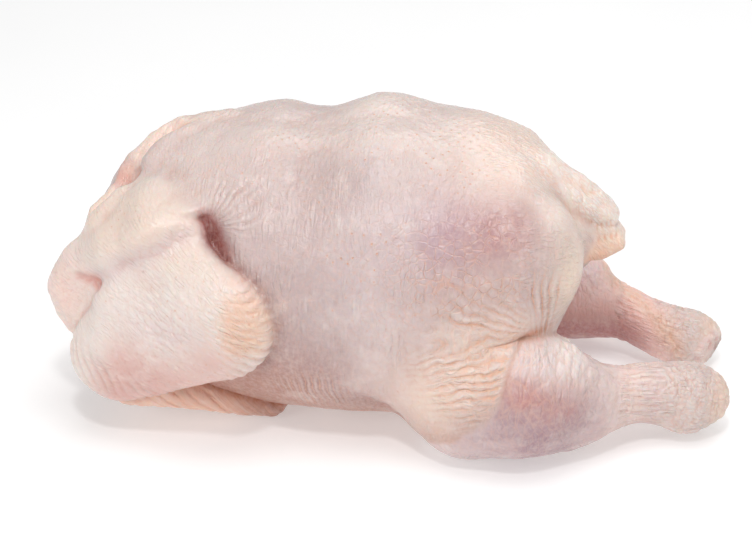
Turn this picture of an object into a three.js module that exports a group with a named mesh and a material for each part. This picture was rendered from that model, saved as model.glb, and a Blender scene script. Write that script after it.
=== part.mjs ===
import * as THREE from 'three';

// Whole raw chicken lying on its breast, back up, legs stretched out behind it.
// Millimetres. +X towards the tail and the leg ends, +Y the bird's right side, +Z up.
// The left side is -Y. Everything is one closed body of flesh and skin.

// ---------------------------------------------------------------- driving dimensions
// Trunk: rounded cross-sections along X. x, back height, widest height, breast height, half width.
const TRUNK = [
  { x: -117, top: 80, mid: 66, low: 50, half: 12 },
  { x: -106, top: 93, mid: 65, low: 33, half: 34 },
  { x: -92, top: 107, mid: 63, low: 17, half: 50 },
  { x: -75, top: 116, mid: 62, low: 6, half: 61 },
  { x: -46, top: 122, mid: 60, low: 0, half: 69 },
  { x: -25, top: 123, mid: 58, low: -1, half: 72 },
  { x: 0, top: 125, mid: 58, low: -1, half: 73 },
  { x: 25, top: 125, mid: 60, low: 2, half: 71 },
  { x: 50, top: 123, mid: 64, low: 16, half: 60 },
  { x: 71, top: 114, mid: 70, low: 38, half: 42 },
  { x: 87, top: 101, mid: 76, low: 56, half: 24 },
  { x: 100, top: 86, mid: 78, low: 68, half: 8 },
];
const TRUNK_ROUNDNESS = 2.2;
const TRUNK_SLOPE_EASE = 0.9;

// Two low swells across the back, over the hips and over the shoulder blades.
const BACK_SWELLS = [
  { x: 2, length: 17, offset: 26, spread: 30, height: 5 },
  { x: -44, length: 20, offset: 24, spread: 26, height: 1.5 },
];

// Neck stump, closed by the drawn-in skin.
const NECK = { from: [-80, 3, 80], to: [-97, 5, 82], thick: 28, end: 20, blend: 20 };

// Groove over the keel on the front underside, and the fold of the vent under the tail.
const KEEL = { from: [-116, 0, 38], to: [-66, 0, -1], radius: 4.5, blend: 13 };
const VENT = { centre: [84, 0, 50], radii: [9, 15, 7], blend: 7 };

// Tail: a lobe on top of a square-ended fan.
const TAIL_LOBE = { from: [80, 0, 98], to: [99.5, 0, 88.5], thick: 12, end: 5.2, flatten: 0.62 };
const TAIL_FAN = { centre: [92, 0, 77], half: [16, 12, 8.5], round: 3.5, droop: 0.42, taper: 0.3 };
const TAIL_BLEND = 6;

// Legs, given for the right side and mirrored for the left: thigh, then x, y, z, radius
// from the knee along the drumstick and the ankle to the hock knob.
const LEFT_LEG = {
  hip: [55, 32, 75], hipRadius: 34, knee: [44, 46, 35], kneeRadius: 27,
  shank: [
    [46, 52, 26, 26], [72, 51.5, 25.2, 25], [84, 49, 24.5, 23], [92, 47, 23.5, 20.5],
    [100, 44.5, 22.7, 16.8], [109, 40, 22.3, 13.2], [118, 36, 22, 12.2], [126, 33.5, 20, 13],
    [138, 31, 17.5, 14.8], [145, 29, 17, 12.6],
  ],
};
const RIGHT_LEG = {
  hip: [52, 30, 70], hipRadius: 33, knee: [42, 46, 35], kneeRadius: 27,
  shank: [
    [46, 51, 26, 26], [72, 50, 25, 25], [88, 45, 24, 20.5], [98, 40.5, 23, 16],
    [107, 38, 21, 13.3], [113, 35.5, 19.5, 11.6], [120, 32, 17.5, 11.6], [128, 28.5, 16, 12.2],
    [138, 26, 14, 13], [144, 26, 13.5, 10.6],
  ],
};
const THIGH_FLATTEN = 0.92;
const THIGH_FLATTEN_AXIS = [0.1, 1, 0];
const SHANK_BLEND = 2.5;

// Wings, same convention: folded in three, upper arm back to the elbow, forearm forward to
// the wrist, hand back under the forearm, with the skin webs between them.
const LEFT_WING = {
  shoulder: [-88, 40, 88], elbow: [-54, 66, 70], shoulderRadius: 18, elbowRadius: 14,
  forearmBack: [-54, 69, 60], wrist: [-102, 58, 39], forearmRadius: 20, wristRadius: 20.5,
  lobe: [-121, 42, 61], lobeRadii: [13, 8, 27],
  web: [[-90, 46, 84], [-52, 66, 64], [-100, 60, 44]], webHalf: 11,
  frontWeb: [[-92, 44, 88], [-101, 54, 52], [-124, 42, 70]], frontWebHalf: 7.5,
  handBack: [-96, 50, 22], handTip: [-44, 39, 7],
};
const RIGHT_WING = {
  shoulder: [-70, 44, 76], elbow: [-42, 66, 60], shoulderRadius: 19, elbowRadius: 14,
  forearmBack: [-44, 68, 54], wrist: [-86, 58, 38], forearmRadius: 19.5, wristRadius: 19.5,
  lobe: [-94, 46, 50], lobeRadii: [12, 8, 22],
  web: [[-74, 50, 74], [-42, 66, 58], [-84, 60, 42]], webHalf: 11,
  frontWeb: [[-76, 48, 74], [-85, 55, 46], [-98, 44, 56]], frontWebHalf: 7.5,
  handBack: [-84, 50, 19], handTip: [-34, 38, 7],
};
const UPPER_ARM_FLATTEN = 0.8, UPPER_ARM_FLATTEN_AXIS = [-0.3, 1, 0.3];
const FOREARM_FLATTEN = 0.6, FOREARM_FLATTEN_AXIS = [-0.1, 1, 0.3];
const HAND_THICK = 13, HAND_TIP_THICK = 7, HAND_FLATTEN = 0.7, HAND_FLATTEN_AXIS = [0, 0.5, 1];

// Facet size: fine at the two ends, coarser over the plain middle of the trunk.
const FACET_FINE = 4.9, FACET_MIDDLE = 7.6, FACET_ACROSS = 6.2, FACET_UP = 6;
const FLAT_SNAP = 0.7;

const SKIN_COLOUR = 0xe9cdbd, SKIN_ROUGHNESS = 0.5;

// ---------------------------------------------------------------- small vector helpers
const sub = (a, b) => [a[0] - b[0], a[1] - b[1], a[2] - b[2]];
const dot = (a, b) => a[0] * b[0] + a[1] * b[1] + a[2] * b[2];
const cross = (a, b) => [a[1] * b[2] - a[2] * b[1], a[2] * b[0] - a[0] * b[2], a[0] * b[1] - a[1] * b[0]];
const unit = (a) => { const l = Math.hypot(a[0], a[1], a[2]); return [a[0] / l, a[1] / l, a[2] / l]; };
const clamp = (v, a, b) => Math.min(Math.max(v, a), b);
const ease = (x, a, b) => { const t = clamp((x - a) / (b - a), 0, 1); return t * t * (3 - 2 * t); };
const gauss = (v) => Math.exp(-v * v);

// ---------------------------------------------------------------- distance to simple forms
// soft union and soft cut: k is the width of the fillet between the two surfaces
const join = (a, b, k) => { const h = Math.max(k - Math.abs(a - b), 0) / k; return Math.min(a, b) - h * h * k * 0.25; };
const keep = (a, b, k) => -join(-a, -b, k);

// cone with round ends of two radii
function roundCone(p, a, b, ra, rb) {
  const ba = sub(b, a), l2 = dot(ba, ba), rr = ra - rb, a2 = l2 - rr * rr, il2 = 1 / l2;
  const pa = sub(p, a), y = dot(pa, ba), z = y - l2;
  const w = [pa[0] * l2 - ba[0] * y, pa[1] * l2 - ba[1] * y, pa[2] * l2 - ba[2] * y];
  const x2 = dot(w, w), y2 = y * y * l2, z2 = z * z * l2, k = Math.sign(rr) * rr * rr * x2;
  if (Math.sign(z) * a2 * z2 > k) return Math.sqrt(x2 + z2) * il2 - rb;
  if (Math.sign(y) * a2 * y2 < k) return Math.sqrt(x2 + y2) * il2 - ra;
  return (Math.sqrt(x2 * a2 * il2) + y * rr) * il2 - ra;
}
// the same, squashed along one axis
function flatCone(p, a, b, ra, rb, flat, axis) {
  const up = unit(axis), stretch = 1 / flat - 1;
  const s = (v) => { const t = dot(v, up) * stretch; return [v[0] + up[0] * t, v[1] + up[1] * t, v[2] + up[2] * t]; };
  return roundCone(s(sub(p, a)), [0, 0, 0], s(sub(b, a)), ra, rb);
}
// axes of a turned form: rows are its own x, y, z
function turned(forward, up) {
  const x = unit(forward), y = unit(cross(up, x));
  return [x, y, cross(x, y)];
}
function ellipsoid(p, c, r, axes) {
  let q = sub(p, c);
  if (axes) q = axes.map((m) => dot(m, q));
  const k0 = Math.hypot(q[0] / r[0], q[1] / r[1], q[2] / r[2]);
  const k1 = Math.hypot(q[0] / (r[0] * r[0]), q[1] / (r[1] * r[1]), q[2] / (r[2] * r[2]));
  return (k0 * (k0 - 1)) / Math.max(k1, 1e-9);
}
function roundBox(p, c, h, r, axes, taper) {
  const d = sub(p, c), q = axes.map((m) => dot(m, d));
  q[1] /= 1 - taper * ((q[0] / h[0]) * 0.5 + 0.5);
  const a = q.map((v, i) => Math.abs(v) - (h[i] - r));
  return Math.hypot(Math.max(a[0], 0), Math.max(a[1], 0), Math.max(a[2], 0)) + Math.min(Math.max(a[0], a[1], a[2]), 0) - r;
}
// flat three-cornered plate of no thickness
function plate(p, [a, b, c]) {
  const ba = sub(b, a), cb = sub(c, b), ac = sub(a, c), pa = sub(p, a), pb = sub(p, b), pc = sub(p, c);
  const n = cross(ba, ac), side = (e, q) => Math.sign(dot(q, cross(e, n)));
  if (side(ba, pa) + side(cb, pb) + side(ac, pc) < 2) {
    const edge = (e, q) => { const t = clamp(dot(q, e) / dot(e, e), 0, 1); const w = [e[0] * t - q[0], e[1] * t - q[1], e[2] * t - q[2]]; return dot(w, w); };
    return Math.sqrt(Math.min(edge(ba, pa), edge(cb, pb), edge(ac, pc)));
  }
  return Math.abs(dot(pa, n)) / Math.sqrt(dot(n, n));
}
// smooth curve through a column of the trunk table
function along(x, key) {
  const n = TRUNK.length;
  let i = 0;
  while (i < n - 2 && x > TRUNK[i + 1].x) i++;
  const slope = (j) => {
    if (j === 0) return (TRUNK[1][key] - TRUNK[0][key]) / (TRUNK[1].x - TRUNK[0].x);
    if (j === n - 1) return (TRUNK[n - 1][key] - TRUNK[n - 2][key]) / (TRUNK[n - 1].x - TRUNK[n - 2].x);
    const hs = TRUNK[j].x - TRUNK[j - 1].x, hd = TRUNK[j + 1].x - TRUNK[j].x;
    return (hs * hs * TRUNK[j + 1][key] + (hd * hd - hs * hs) * TRUNK[j][key] - hd * hd * TRUNK[j - 1][key]) / (hs * hd * (hd + hs));
  };
  const a = TRUNK[i], b = TRUNK[i + 1], h = b.x - a.x, t = clamp((x - a.x) / h, 0, 1), t2 = t * t, t3 = t2 * t;
  return (2 * t3 - 3 * t2 + 1) * a[key] + (t3 - 2 * t2 + t) * h * slope(i) + (-2 * t3 + 3 * t2) * b[key] + (t3 - t2) * h * slope(i + 1);
}

// ---------------------------------------------------------------- parts of the bird
function trunk([x, y, z]) {
  const first = TRUNK[0].x, last = TRUNK[TRUNK.length - 1].x, xc = clamp(x, first, last);
  const top = along(xc, 'top'), mid = along(xc, 'mid'), low = along(xc, 'low'), half = along(xc, 'half');
  const up = z - mid, tall = up > 0 ? top - mid : mid - low;
  const r = ((Math.abs(y) / half) ** TRUNK_ROUNDNESS + (Math.abs(up) / tall) ** TRUNK_ROUNDNESS) ** (1 / TRUNK_ROUNDNESS);
  const reach = Math.hypot(y, up);
  let d = r < 1e-4 ? -Math.min(half, tall) : reach - reach / r;
  const past = Math.max(first - x, 0) + Math.max(x - last, 0);
  if (past > 0) d = Math.hypot(Math.max(d, 0), past);
  d *= TRUNK_SLOPE_EASE;
  let swell = 0;
  for (const s of BACK_SWELLS) swell += s.height * gauss((x - s.x) / s.length) * gauss((Math.abs(y) - s.offset) / s.spread);
  return d - swell * ease(z, 60, 95);
}
function legs(q, leg) {
  const thigh = flatCone(q, leg.hip, leg.knee, leg.hipRadius, leg.kneeRadius, THIGH_FLATTEN, THIGH_FLATTEN_AXIS);
  let shank = Infinity;
  for (let i = 0; i + 1 < leg.shank.length; i++) {
    const a = leg.shank[i], b = leg.shank[i + 1], d = roundCone(q, a, b, a[3], b[3]);
    shank = i === 0 ? d : join(shank, d, SHANK_BLEND);
  }
  return { thigh, shank };
}
function wings(q, w) {
  const upper = flatCone(q, w.shoulder, w.elbow, w.shoulderRadius, w.elbowRadius, UPPER_ARM_FLATTEN, UPPER_ARM_FLATTEN_AXIS);
  const fore = flatCone(q, w.forearmBack, w.wrist, w.forearmRadius, w.wristRadius, FOREARM_FLATTEN, FOREARM_FLATTEN_AXIS);
  const lobe = ellipsoid(q, w.lobe, w.lobeRadii, turned([1, 0.25, 0], [0, 0, 1]));
  const web = plate(q, w.web) - w.webHalf, frontWeb = plate(q, w.frontWeb) - w.frontWebHalf;
  const hand = flatCone(q, w.handBack, w.handTip, HAND_THICK, HAND_TIP_THICK, HAND_FLATTEN, HAND_FLATTEN_AXIS);
  const arm = join(join(upper, fore, 10), web, 10), front = join(lobe, frontWeb, 10);
  return { wing: join(arm, front, 4), hand };
}
function tail(p) {
  const lobe = roundCone([p[0], p[1] * TAIL_LOBE.flatten, p[2]], TAIL_LOBE.from, TAIL_LOBE.to, TAIL_LOBE.thick, TAIL_LOBE.end);
  const fan = roundBox(p, TAIL_FAN.centre, TAIL_FAN.half, TAIL_FAN.round, turned([1, 0, -TAIL_FAN.droop], [0, 0, 1]), TAIL_FAN.taper);
  return join(lobe, fan, 2.5);
}
function bird(p) {
  const [x, y, z] = p;
  let d = join(trunk(p), roundCone(p, NECK.from, NECK.to, NECK.thick, NECK.end), NECK.blend);
  d = keep(d, -roundCone(p, KEEL.from, KEEL.to, KEEL.radius, KEEL.radius), KEEL.blend);
  for (const [side, leg, wingDims] of [[1, RIGHT_LEG, RIGHT_WING], [-1, LEFT_LEG, LEFT_WING]]) {
    const q = [x, y * side, z];
    const { thigh, shank } = legs(q, leg);
    // the thigh flows into the trunk in front and folds against it behind
    d = join(d, thigh, 5 + 13 * (1 - ease(x, 58, 80)));
    d = join(d, shank, 4 + 8 * (1 - ease(x, 35, 75)));
    const { wing, hand } = wings(q, wingDims);
    d = join(d, hand, 6);
    // the shoulder flows into the back, elbow and lower edge stand free
    d = join(d, wing, 8 + 9 * (1 - ease(x, -95, -60)) * ease(z, 60, 90));
  }
  d = join(d, tail(p), TAIL_BLEND);
  d = keep(d, -ellipsoid(p, VENT.centre, VENT.radii), VENT.blend);
  return keep(d, -z, 1); // lies on the table
}

// ---------------------------------------------------------------- facets
// grid lines from lo to hi with a spacing that depends on where they are
function lines(lo, hi, step) {
  const out = [lo];
  while (out[out.length - 1] < hi) out.push(out[out.length - 1] + step(out[out.length - 1]));
  return out;
}
function facet(field) {
  const gx = lines(-146, 168, (x) => FACET_FINE + (FACET_MIDDLE - FACET_FINE) * ease(x, -62, -38) * (1 - ease(x, 48, 72)));
  const gy = lines(-96, 96, () => FACET_ACROSS);
  const gz = lines(-1.5 * FACET_UP, 140, () => FACET_UP);
  const nx = gx.length, ny = gy.length, nz = gz.length, at = (i, j, k) => (i * ny + j) * nz + k;
  const f = new Float64Array(nx * ny * nz);
  for (let i = 0; i < nx; i++) for (let j = 0; j < ny; j++) for (let k = 0; k < nz; k++) f[at(i, j, k)] = field([gx[i], gy[j], gz[k]]);

  // where two corners touch only across a face or across a cell, the weaker empty corner is
  // filled, so every edge of the skin has exactly two facets
  const fill = (cells) => {
    let best = -1;
    for (const c of cells) if (f[c] >= 0 && (best < 0 || f[c] < f[best])) best = c;
    f[best] = -1e-3;
  };
  for (let changed = true; changed;) {
    changed = false;
    for (let i = 0; i < nx - 1; i++) for (let j = 0; j < ny - 1; j++) for (let k = 0; k < nz - 1; k++) {
      const c = [at(i, j, k), at(i + 1, j, k), at(i, j + 1, k), at(i + 1, j + 1, k), at(i, j, k + 1), at(i + 1, j, k + 1), at(i, j + 1, k + 1), at(i + 1, j + 1, k + 1)];
      const s = (n) => f[c[n]] < 0;
      for (const [a, b, d, e] of [[0, 1, 2, 3], [4, 5, 6, 7], [0, 1, 4, 5], [2, 3, 6, 7], [0, 2, 4, 6], [1, 3, 5, 7]]) {
        if (s(a) === s(e) && s(b) === s(d) && s(a) !== s(b)) { fill([c[a], c[b], c[d], c[e]]); changed = true; }
      }
      const count = c.filter((n) => f[n] < 0).length;
      for (let a = 0; a < 4; a++) {
        if (s(a) === s(7 - a) && ((count === 2 && s(a)) || (count === 6 && !s(a)))) { fill(c); changed = true; break; }
      }
    }
  }

  // one vertex in each cell the skin passes through
  const cell = new Int32Array(nx * ny * nz).fill(-1), verts = [];
  const corner = [[0, 0, 0], [1, 0, 0], [0, 1, 0], [1, 1, 0], [0, 0, 1], [1, 0, 1], [0, 1, 1], [1, 1, 1]];
  const edges = [[0, 1], [2, 3], [4, 5], [6, 7], [0, 2], [1, 3], [4, 6], [5, 7], [0, 4], [1, 5], [2, 6], [3, 7]];
  for (let i = 0; i < nx - 1; i++) for (let j = 0; j < ny - 1; j++) for (let k = 0; k < nz - 1; k++) {
    const v = corner.map(([a, b, c]) => f[at(i + a, j + b, k + c)]);
    let n = 0, s = [0, 0, 0];
    for (const [a, b] of edges) {
      if ((v[a] < 0) === (v[b] < 0)) continue;
      const t = v[a] / (v[a] - v[b]);
      for (let m = 0; m < 3; m++) s[m] += corner[a][m] + (corner[b][m] - corner[a][m]) * t;
      n++;
    }
    if (!n) continue;
    s = s.map((m) => m / n);
    const lo = [gx[i], gy[j], gz[k]], size = [gx[i + 1] - gx[i], gy[j + 1] - gy[j], gz[k + 1] - gz[k]];
    let p = s.map((m, a) => lo[a] + m * size[a]);
    // draw it onto the skin, staying inside its own cell
    for (let pass = 0; pass < 6; pass++) {
      const e = 0.2, d = field(p);
      const g = [0, 1, 2].map((a) => { const q = p.slice(), r = p.slice(); q[a] += e; r[a] -= e; return (field(q) - field(r)) / (2 * e); });
      const g2 = Math.max(dot(g, g), 0.05);
      p = p.map((m, a) => clamp(m - (d * g[a]) / g2, lo[a] + 0.06 * size[a], lo[a] + 0.94 * size[a]));
    }
    if (p[2] < FLAT_SNAP) p[2] = 0; // the flat underside is exactly flat
    cell[at(i, j, k)] = verts.length / 3;
    verts.push(p[0], p[1], p[2]);
  }

  // a four-sided facet across every grid edge that the skin crosses, split on its shorter diagonal
  const index = [];
  const point = (n) => [verts[3 * n], verts[3 * n + 1], verts[3 * n + 2]];
  const quad = (a, b, c, d, flip) => {
    if (flip) [b, d] = [d, b];
    const ac = sub(point(a), point(c)), bd = sub(point(b), point(d));
    if (dot(ac, ac) <= dot(bd, bd)) index.push(a, b, c, a, c, d);
    else index.push(a, b, d, b, c, d);
  };
  for (let i = 1; i < nx - 1; i++) for (let j = 1; j < ny - 1; j++) for (let k = 1; k < nz - 1; k++) {
    const here = f[at(i, j, k)] < 0;
    if (here !== f[at(i + 1, j, k)] < 0) quad(cell[at(i, j - 1, k - 1)], cell[at(i, j, k - 1)], cell[at(i, j, k)], cell[at(i, j - 1, k)], !here);
    if (here !== f[at(i, j + 1, k)] < 0) quad(cell[at(i - 1, j, k - 1)], cell[at(i - 1, j, k)], cell[at(i, j, k)], cell[at(i, j, k - 1)], !here);
    if (here !== f[at(i, j, k + 1)] < 0) quad(cell[at(i - 1, j - 1, k)], cell[at(i, j - 1, k)], cell[at(i, j, k)], cell[at(i - 1, j, k)], !here);
  }
  return { verts, index };
}

const { verts, index } = facet(bird);
const skin = new THREE.BufferGeometry();
skin.setAttribute('position', new THREE.Float32BufferAttribute(verts, 3));
skin.setIndex(index);
// origin under the middle of the bird's outline
skin.computeBoundingBox();
const box = skin.boundingBox;
skin.translate(-(box.min.x + box.max.x) / 2, -(box.min.y + box.max.y) / 2, -box.min.z);
skin.computeVertexNormals();

const mesh = new THREE.Mesh(skin, new THREE.MeshStandardMaterial({ color: SKIN_COLOUR, roughness: SKIN_ROUGHNESS, metalness: 0 }));
mesh.name = 'chicken';

const group = new THREE.Group();
group.name = 'whole_raw_chicken';
group.add(mesh);
export default group;
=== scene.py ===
import math
import time

import bpy
import numpy as np
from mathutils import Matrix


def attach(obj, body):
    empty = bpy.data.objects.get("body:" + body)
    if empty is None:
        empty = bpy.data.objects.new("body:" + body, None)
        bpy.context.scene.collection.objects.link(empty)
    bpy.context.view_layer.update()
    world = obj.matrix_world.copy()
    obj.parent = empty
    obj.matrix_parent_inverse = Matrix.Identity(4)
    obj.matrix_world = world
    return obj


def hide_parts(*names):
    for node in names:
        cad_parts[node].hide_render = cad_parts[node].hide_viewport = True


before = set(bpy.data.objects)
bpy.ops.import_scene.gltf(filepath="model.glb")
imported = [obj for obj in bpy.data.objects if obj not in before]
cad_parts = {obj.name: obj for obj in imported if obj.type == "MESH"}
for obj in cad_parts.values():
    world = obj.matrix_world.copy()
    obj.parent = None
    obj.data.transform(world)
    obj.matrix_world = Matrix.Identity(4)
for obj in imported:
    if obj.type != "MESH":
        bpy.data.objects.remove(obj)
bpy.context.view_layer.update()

T0 = time.time()
# the modelling frame is in millimetres; the row's frame is this far from it
SHIFT = np.array([11.559, -0.316, 0.0])
VOXEL = 0.86
MOST_TRIANGLES = 196000

# =====================================================================================
# 1. The bird as a distance field (mm): negative inside
# =====================================================================================
TX = [-117, -106, -92, -75, -46, -25, 0, 25, 50, 71, 87, 100]
TOP = [78, 92, 107, 116, 122, 121.6, 124.6, 125, 123, 113, 95.5, 81]
MID = [66, 65, 63, 62, 60, 58, 58, 60, 64, 70, 76, 78]
LOW = [50, 33, 17, 6, 0, -1, -1, 2, 16, 38, 60, 73]
HALF = [12, 34, 50, 61, 69, 72, 73, 71, 60, 42, 20, 6]
ROUND = 2.2

LEG = {
    -1: dict(hip=(57.5, 32, 80), hr=33.5, knee=(44, 46, 35), kr=27,
             c=[(48, 54, 26.3, 27.2), (64, 55, 30.6, 28.4), (73, 52.8, 28.6, 25.8), (84, 49, 24.0, 21.4), (92, 47.3, 22.4, 17.9), (100, 44.5, 21.8, 14.6), (109, 40.5, 22.0, 12.4),
                (118, 36, 22, 12.2), (126, 33.5, 20, 13), (137, 31, 17.5, 14.8), (142.5, 29.5, 17, 12.8)]),
    1: dict(hip=(54.5, 30, 74), hr=32.5, knee=(42, 46, 35), kr=27,
            c=[(46, 51, 26, 26), (72, 50, 25, 25), (86, 45, 23.5, 20), (96, 41, 21.5, 15), (106, 38, 19.8, 12.4), (113, 35.5, 18.9, 11.3),
               (120, 32, 17.5, 11.6), (128, 28.5, 16, 12.2), (138, 26, 14, 13), (144, 26, 13.5, 10.6)]),
}
WING = {
    -1: dict(S=(-88, 40, 88), E=(-54, 66, 70), sr=18, er=14, F=(-54, 69, 60), W=(-101, 58, 39), fr=21.5, wr=21, L=(-120.5, 41, 57), Lr=(12, 8, 22),
             web=[(-90, 46, 84), (-52, 66, 64), (-100, 60, 44)], wr0=11, web2=[(-110, 38, 84.5), (-110, 50, 41), (-127.5, 41, 61)], wr2=6.5,
             web3=[(-88, 42, 90), (-109, 34, 85), (-104, 52, 60)], web4=[(-92, 50, 80), (-101.5, 55, 62), (-100, 60, 44)],
             h0=(-96, 50, 22), h1=(-40, 39, 7), pit=(0.9, 1.7), dip=-1.2),
    1: dict(S=(-70, 44, 76), E=(-42, 66, 60), sr=19, er=14, F=(-44, 68, 54), W=(-86, 58, 38), fr=19.5, wr=19.5, L=(-94, 46, 50), Lr=(12, 8, 22),
            web=[(-74, 50, 74), (-42, 66, 58), (-84, 60, 42)], wr0=11, web2=[(-90, 42, 72), (-86, 56, 42), (-104, 46, 52)], wr2=6.5,
            web3=[(-70, 46, 78), (-90, 38, 73), (-86, 54, 50)], web4=[(-74, 54, 68), (-83.5, 57, 50), (-84, 60, 40)],
            h0=(-84, 50, 19), h1=(-34, 38, 7), pit=(0.4, 0.9), dip=-4.5),
}
# the tail wedge's side outline: x, z, clockwise seen from the near side
TAIL_WEDGE = [(70, 95), (96, 90.5), (101.8, 87.6), (105.2, 82.6), (109, 75.6), (103, 72.4), (97.5, 69.8), (88, 70.5), (70, 72)]
# the neck opening: the near skin edge, the far skin fold and the crevice between them: x, y, z, radius
NEAR_LIP = [(-74, 6, 114, 4.0), (-80, 2, 112.5, 4.5), (-85.8, -2, 111.4, 4.6), (-88.5, -6, 110.1, 4.8), (-90.5, -10, 107.7, 5), (-92.6, -14.5, 105.3, 5), (-93.3, -18, 102, 5),
            (-96.8, -21.5, 98.4, 4.8), (-101.3, -25, 96.2, 4.8), (-104.4, -28, 95.2, 5), (-107.1, -34, 92.6, 5), (-111.3, -39, 88.9, 5)]
FAR_LIP = [(-64.9, 14, 115.6, 5), (-74.2, 13, 113.6, 5), (-84.4, 11, 111.6, 4.8), (-90.4, 8, 109.4, 4.4), (-95, 5, 107.4, 4.4), (-98.5, 1, 104.1, 5), (-102.9, -3, 101.8, 4.4),
           (-106, -7, 100.5, 3.2), (-106.4, -10, 98.9, 3), (-107, -13, 96.4, 2.8), (-109.4, -17, 94.2, 2.6), (-112.4, -22, 91.2, 2.6), (-115.2, -26, 89.0, 2.4), (-115.8, -30, 87.2, 2.4)]
NECK_CUTS = [
    [(-82, 5.5, 116.5, 0.7), (-87, 3.0, 115, 1.1), (-92, -0.5, 111.6, 1.6), (-97.6, -1.5, 109.0, 1.7), (-99.8, -6, 106.9, 0.9), (-101.8, -12, 105.2, 0.6), (-102.6, -16, 104.4, 1.2)],
    [(-102.6, -14.5, 104.8, 3.6), (-102.4, -19.5, 103.5, 4.9), (-103.8, -18.5, 100.0, 3.0)],
    [(-104.5, -17, 99, 2.6), (-107.6, -21.5, 96.6, 1.8), (-111.3, -27, 93.6, 1.5), (-115.0, -32.5, 90.4, 1.2)],
]
NECK_LINE = [(-80, 6.5, 116), (-88, 3, 114), (-94, -0.5, 111), (-99, -3, 107.5), (-103.5, -9, 103.5), (-105, -16, 100), (-108, -22, 96.5), (-112, -28, 93), (-115.5, -33, 90)]
# the roll of skin along the upper arm, from the armpit to the front flap
BAND = [(-70.6, 49.2, 93.4, 6.8), (-86, 49.4, 90.2, 10.4), (-104, 46.5, 82.5, 9.3), (-117.3, 42.5, 72, 7.3)]
# the hollow behind the wing's root
ARMPIT = [(-64.5, 50.5, 98.5, 0.6), (-64.6, 52.0, 95.0, 2.4), (-63.6, 54.0, 91.0, 3.8), (-61.0, 58.4, 86.0, 3.4), (-57.5, 63.6, 82, 2.0)]
DIP = [(-63.5, 53.5, 103.5, 5.6), (-64.2, 59.5, 98, 11.0), (-62.6, 63.5, 93.5, 12.6), (-59, 67.5, 88.5, 11.6), (-54.5, 71, 83.5, 9.4)]
# the web of skin between belly and thigh: its ridge and the hollow under it
WEB = [(-4.5, 69.9, 37.8), (0.6, 68.1, 33.7), (6.2, 65.9, 29.9), (10.9, 63.2, 25.6), (15.9, 62.0, 21.5)]
WEB_HOLLOW = [(-5, 72, 34, 0.4), (0.0, 70.0, 29.0, 2.0), (6.0, 67.5, 25.0, 3.4), (11, 65.0, 20.5, 4.2), (16, 62.5, 16.0, 3.2)]
# the cut end of the far leg
FAR_END = (149.6, 22.4, 12.1)
FAR_FACE = (0.827, -0.525, -0.202)
WING_NOTCH = [(-60.5, 109), (-54.6, 98.5), (-49.5, 91.5), (-40.5, 84.5), (-31.5, 72)]


def ease(x, a, b):
    t = np.clip((x - a) / (b - a), 0, 1)
    return t * t * (3 - 2 * t)


def bell(x):
    return np.exp(-x * x)


def join(a, b, k):
    h = np.maximum(k - np.abs(a - b), 0) / k
    return np.minimum(a, b) - h * h * k * 0.25


def keep(a, b, k):
    return -join(-a, -b, k)


def unit(v):
    v = np.array(v, float)
    return v / np.linalg.norm(v)


def round_cone(P, a, b, ra, rb):
    a = np.array(a, float)
    ba = np.array(b, float) - a
    l2 = ba @ ba
    rr = ra - rb
    a2 = l2 - rr * rr
    il2 = 1 / l2
    pa = P - a
    y = pa @ ba
    z = y - l2
    w = pa * l2 - y[:, None] * ba
    x2 = np.einsum("ij,ij->i", w, w)
    y2 = y * y * l2
    z2 = z * z * l2
    k = np.sign(rr) * rr * rr * x2
    mid = (np.sqrt(x2 * a2 * il2) + y * rr) * il2 - ra
    return np.where(np.sign(z) * a2 * z2 > k, np.sqrt(x2 + z2) * il2 - rb, np.where(np.sign(y) * a2 * y2 < k, np.sqrt(x2 + y2) * il2 - ra, mid))


def flat_cone(P, a, b, ra, rb, flat, axis):
    up = unit(axis)
    q = P - np.array(a, float)
    q = q + (q @ up)[:, None] * up * (1 / flat - 1)
    e = np.array(b, float) - np.array(a, float)
    e = e + (e @ up) * up * (1 / flat - 1)
    return round_cone(q, (0, 0, 0), e, ra, rb)


def turned(x, up):
    x = unit(x)
    y = unit(np.cross(up, x))
    return np.stack([x, y, np.cross(x, y)])


def ellipsoid(P, c, r, M=None):
    q = P - np.array(c, float)
    if M is not None:
        q = q @ M.T
    r = np.array(r, float)
    k0 = np.sqrt(((q / r) ** 2).sum(1))
    k1 = np.sqrt(((q / (r * r)) ** 2).sum(1))
    return k0 * (k0 - 1) / np.maximum(k1, 1e-9)


def round_box(P, c, h, r, M, taper):
    q = (P - np.array(c, float)) @ M.T
    t = 1 - taper * (q[:, 0] / h[0] * 0.5 + 0.5)
    q = np.stack([q[:, 0], q[:, 1] / t, q[:, 2]], 1)
    a = np.abs(q) - (np.array(h, float) - r)
    return np.sqrt((np.maximum(a, 0) ** 2).sum(1)) + np.minimum(a.max(1), 0) - r


def plate(P, corners):
    a, b, c = (np.array(v, float) for v in corners)
    ba, cb, ac = b - a, c - b, a - c
    pa, pb, pc = P - a, P - b, P - c
    n = np.cross(ba, ac)
    out = (np.sign(pa @ np.cross(ba, n)) + np.sign(pb @ np.cross(cb, n)) + np.sign(pc @ np.cross(ac, n))) < 2

    def seg(e, p):
        t = np.clip(p @ e / (e @ e), 0, 1)
        return ((t[:, None] * e - p) ** 2).sum(1)

    de = np.minimum(np.minimum(seg(ba, pa), seg(cb, pb)), seg(ac, pc))
    return np.sqrt(np.where(out, de, (pa @ n) ** 2 / (n @ n)))


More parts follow.
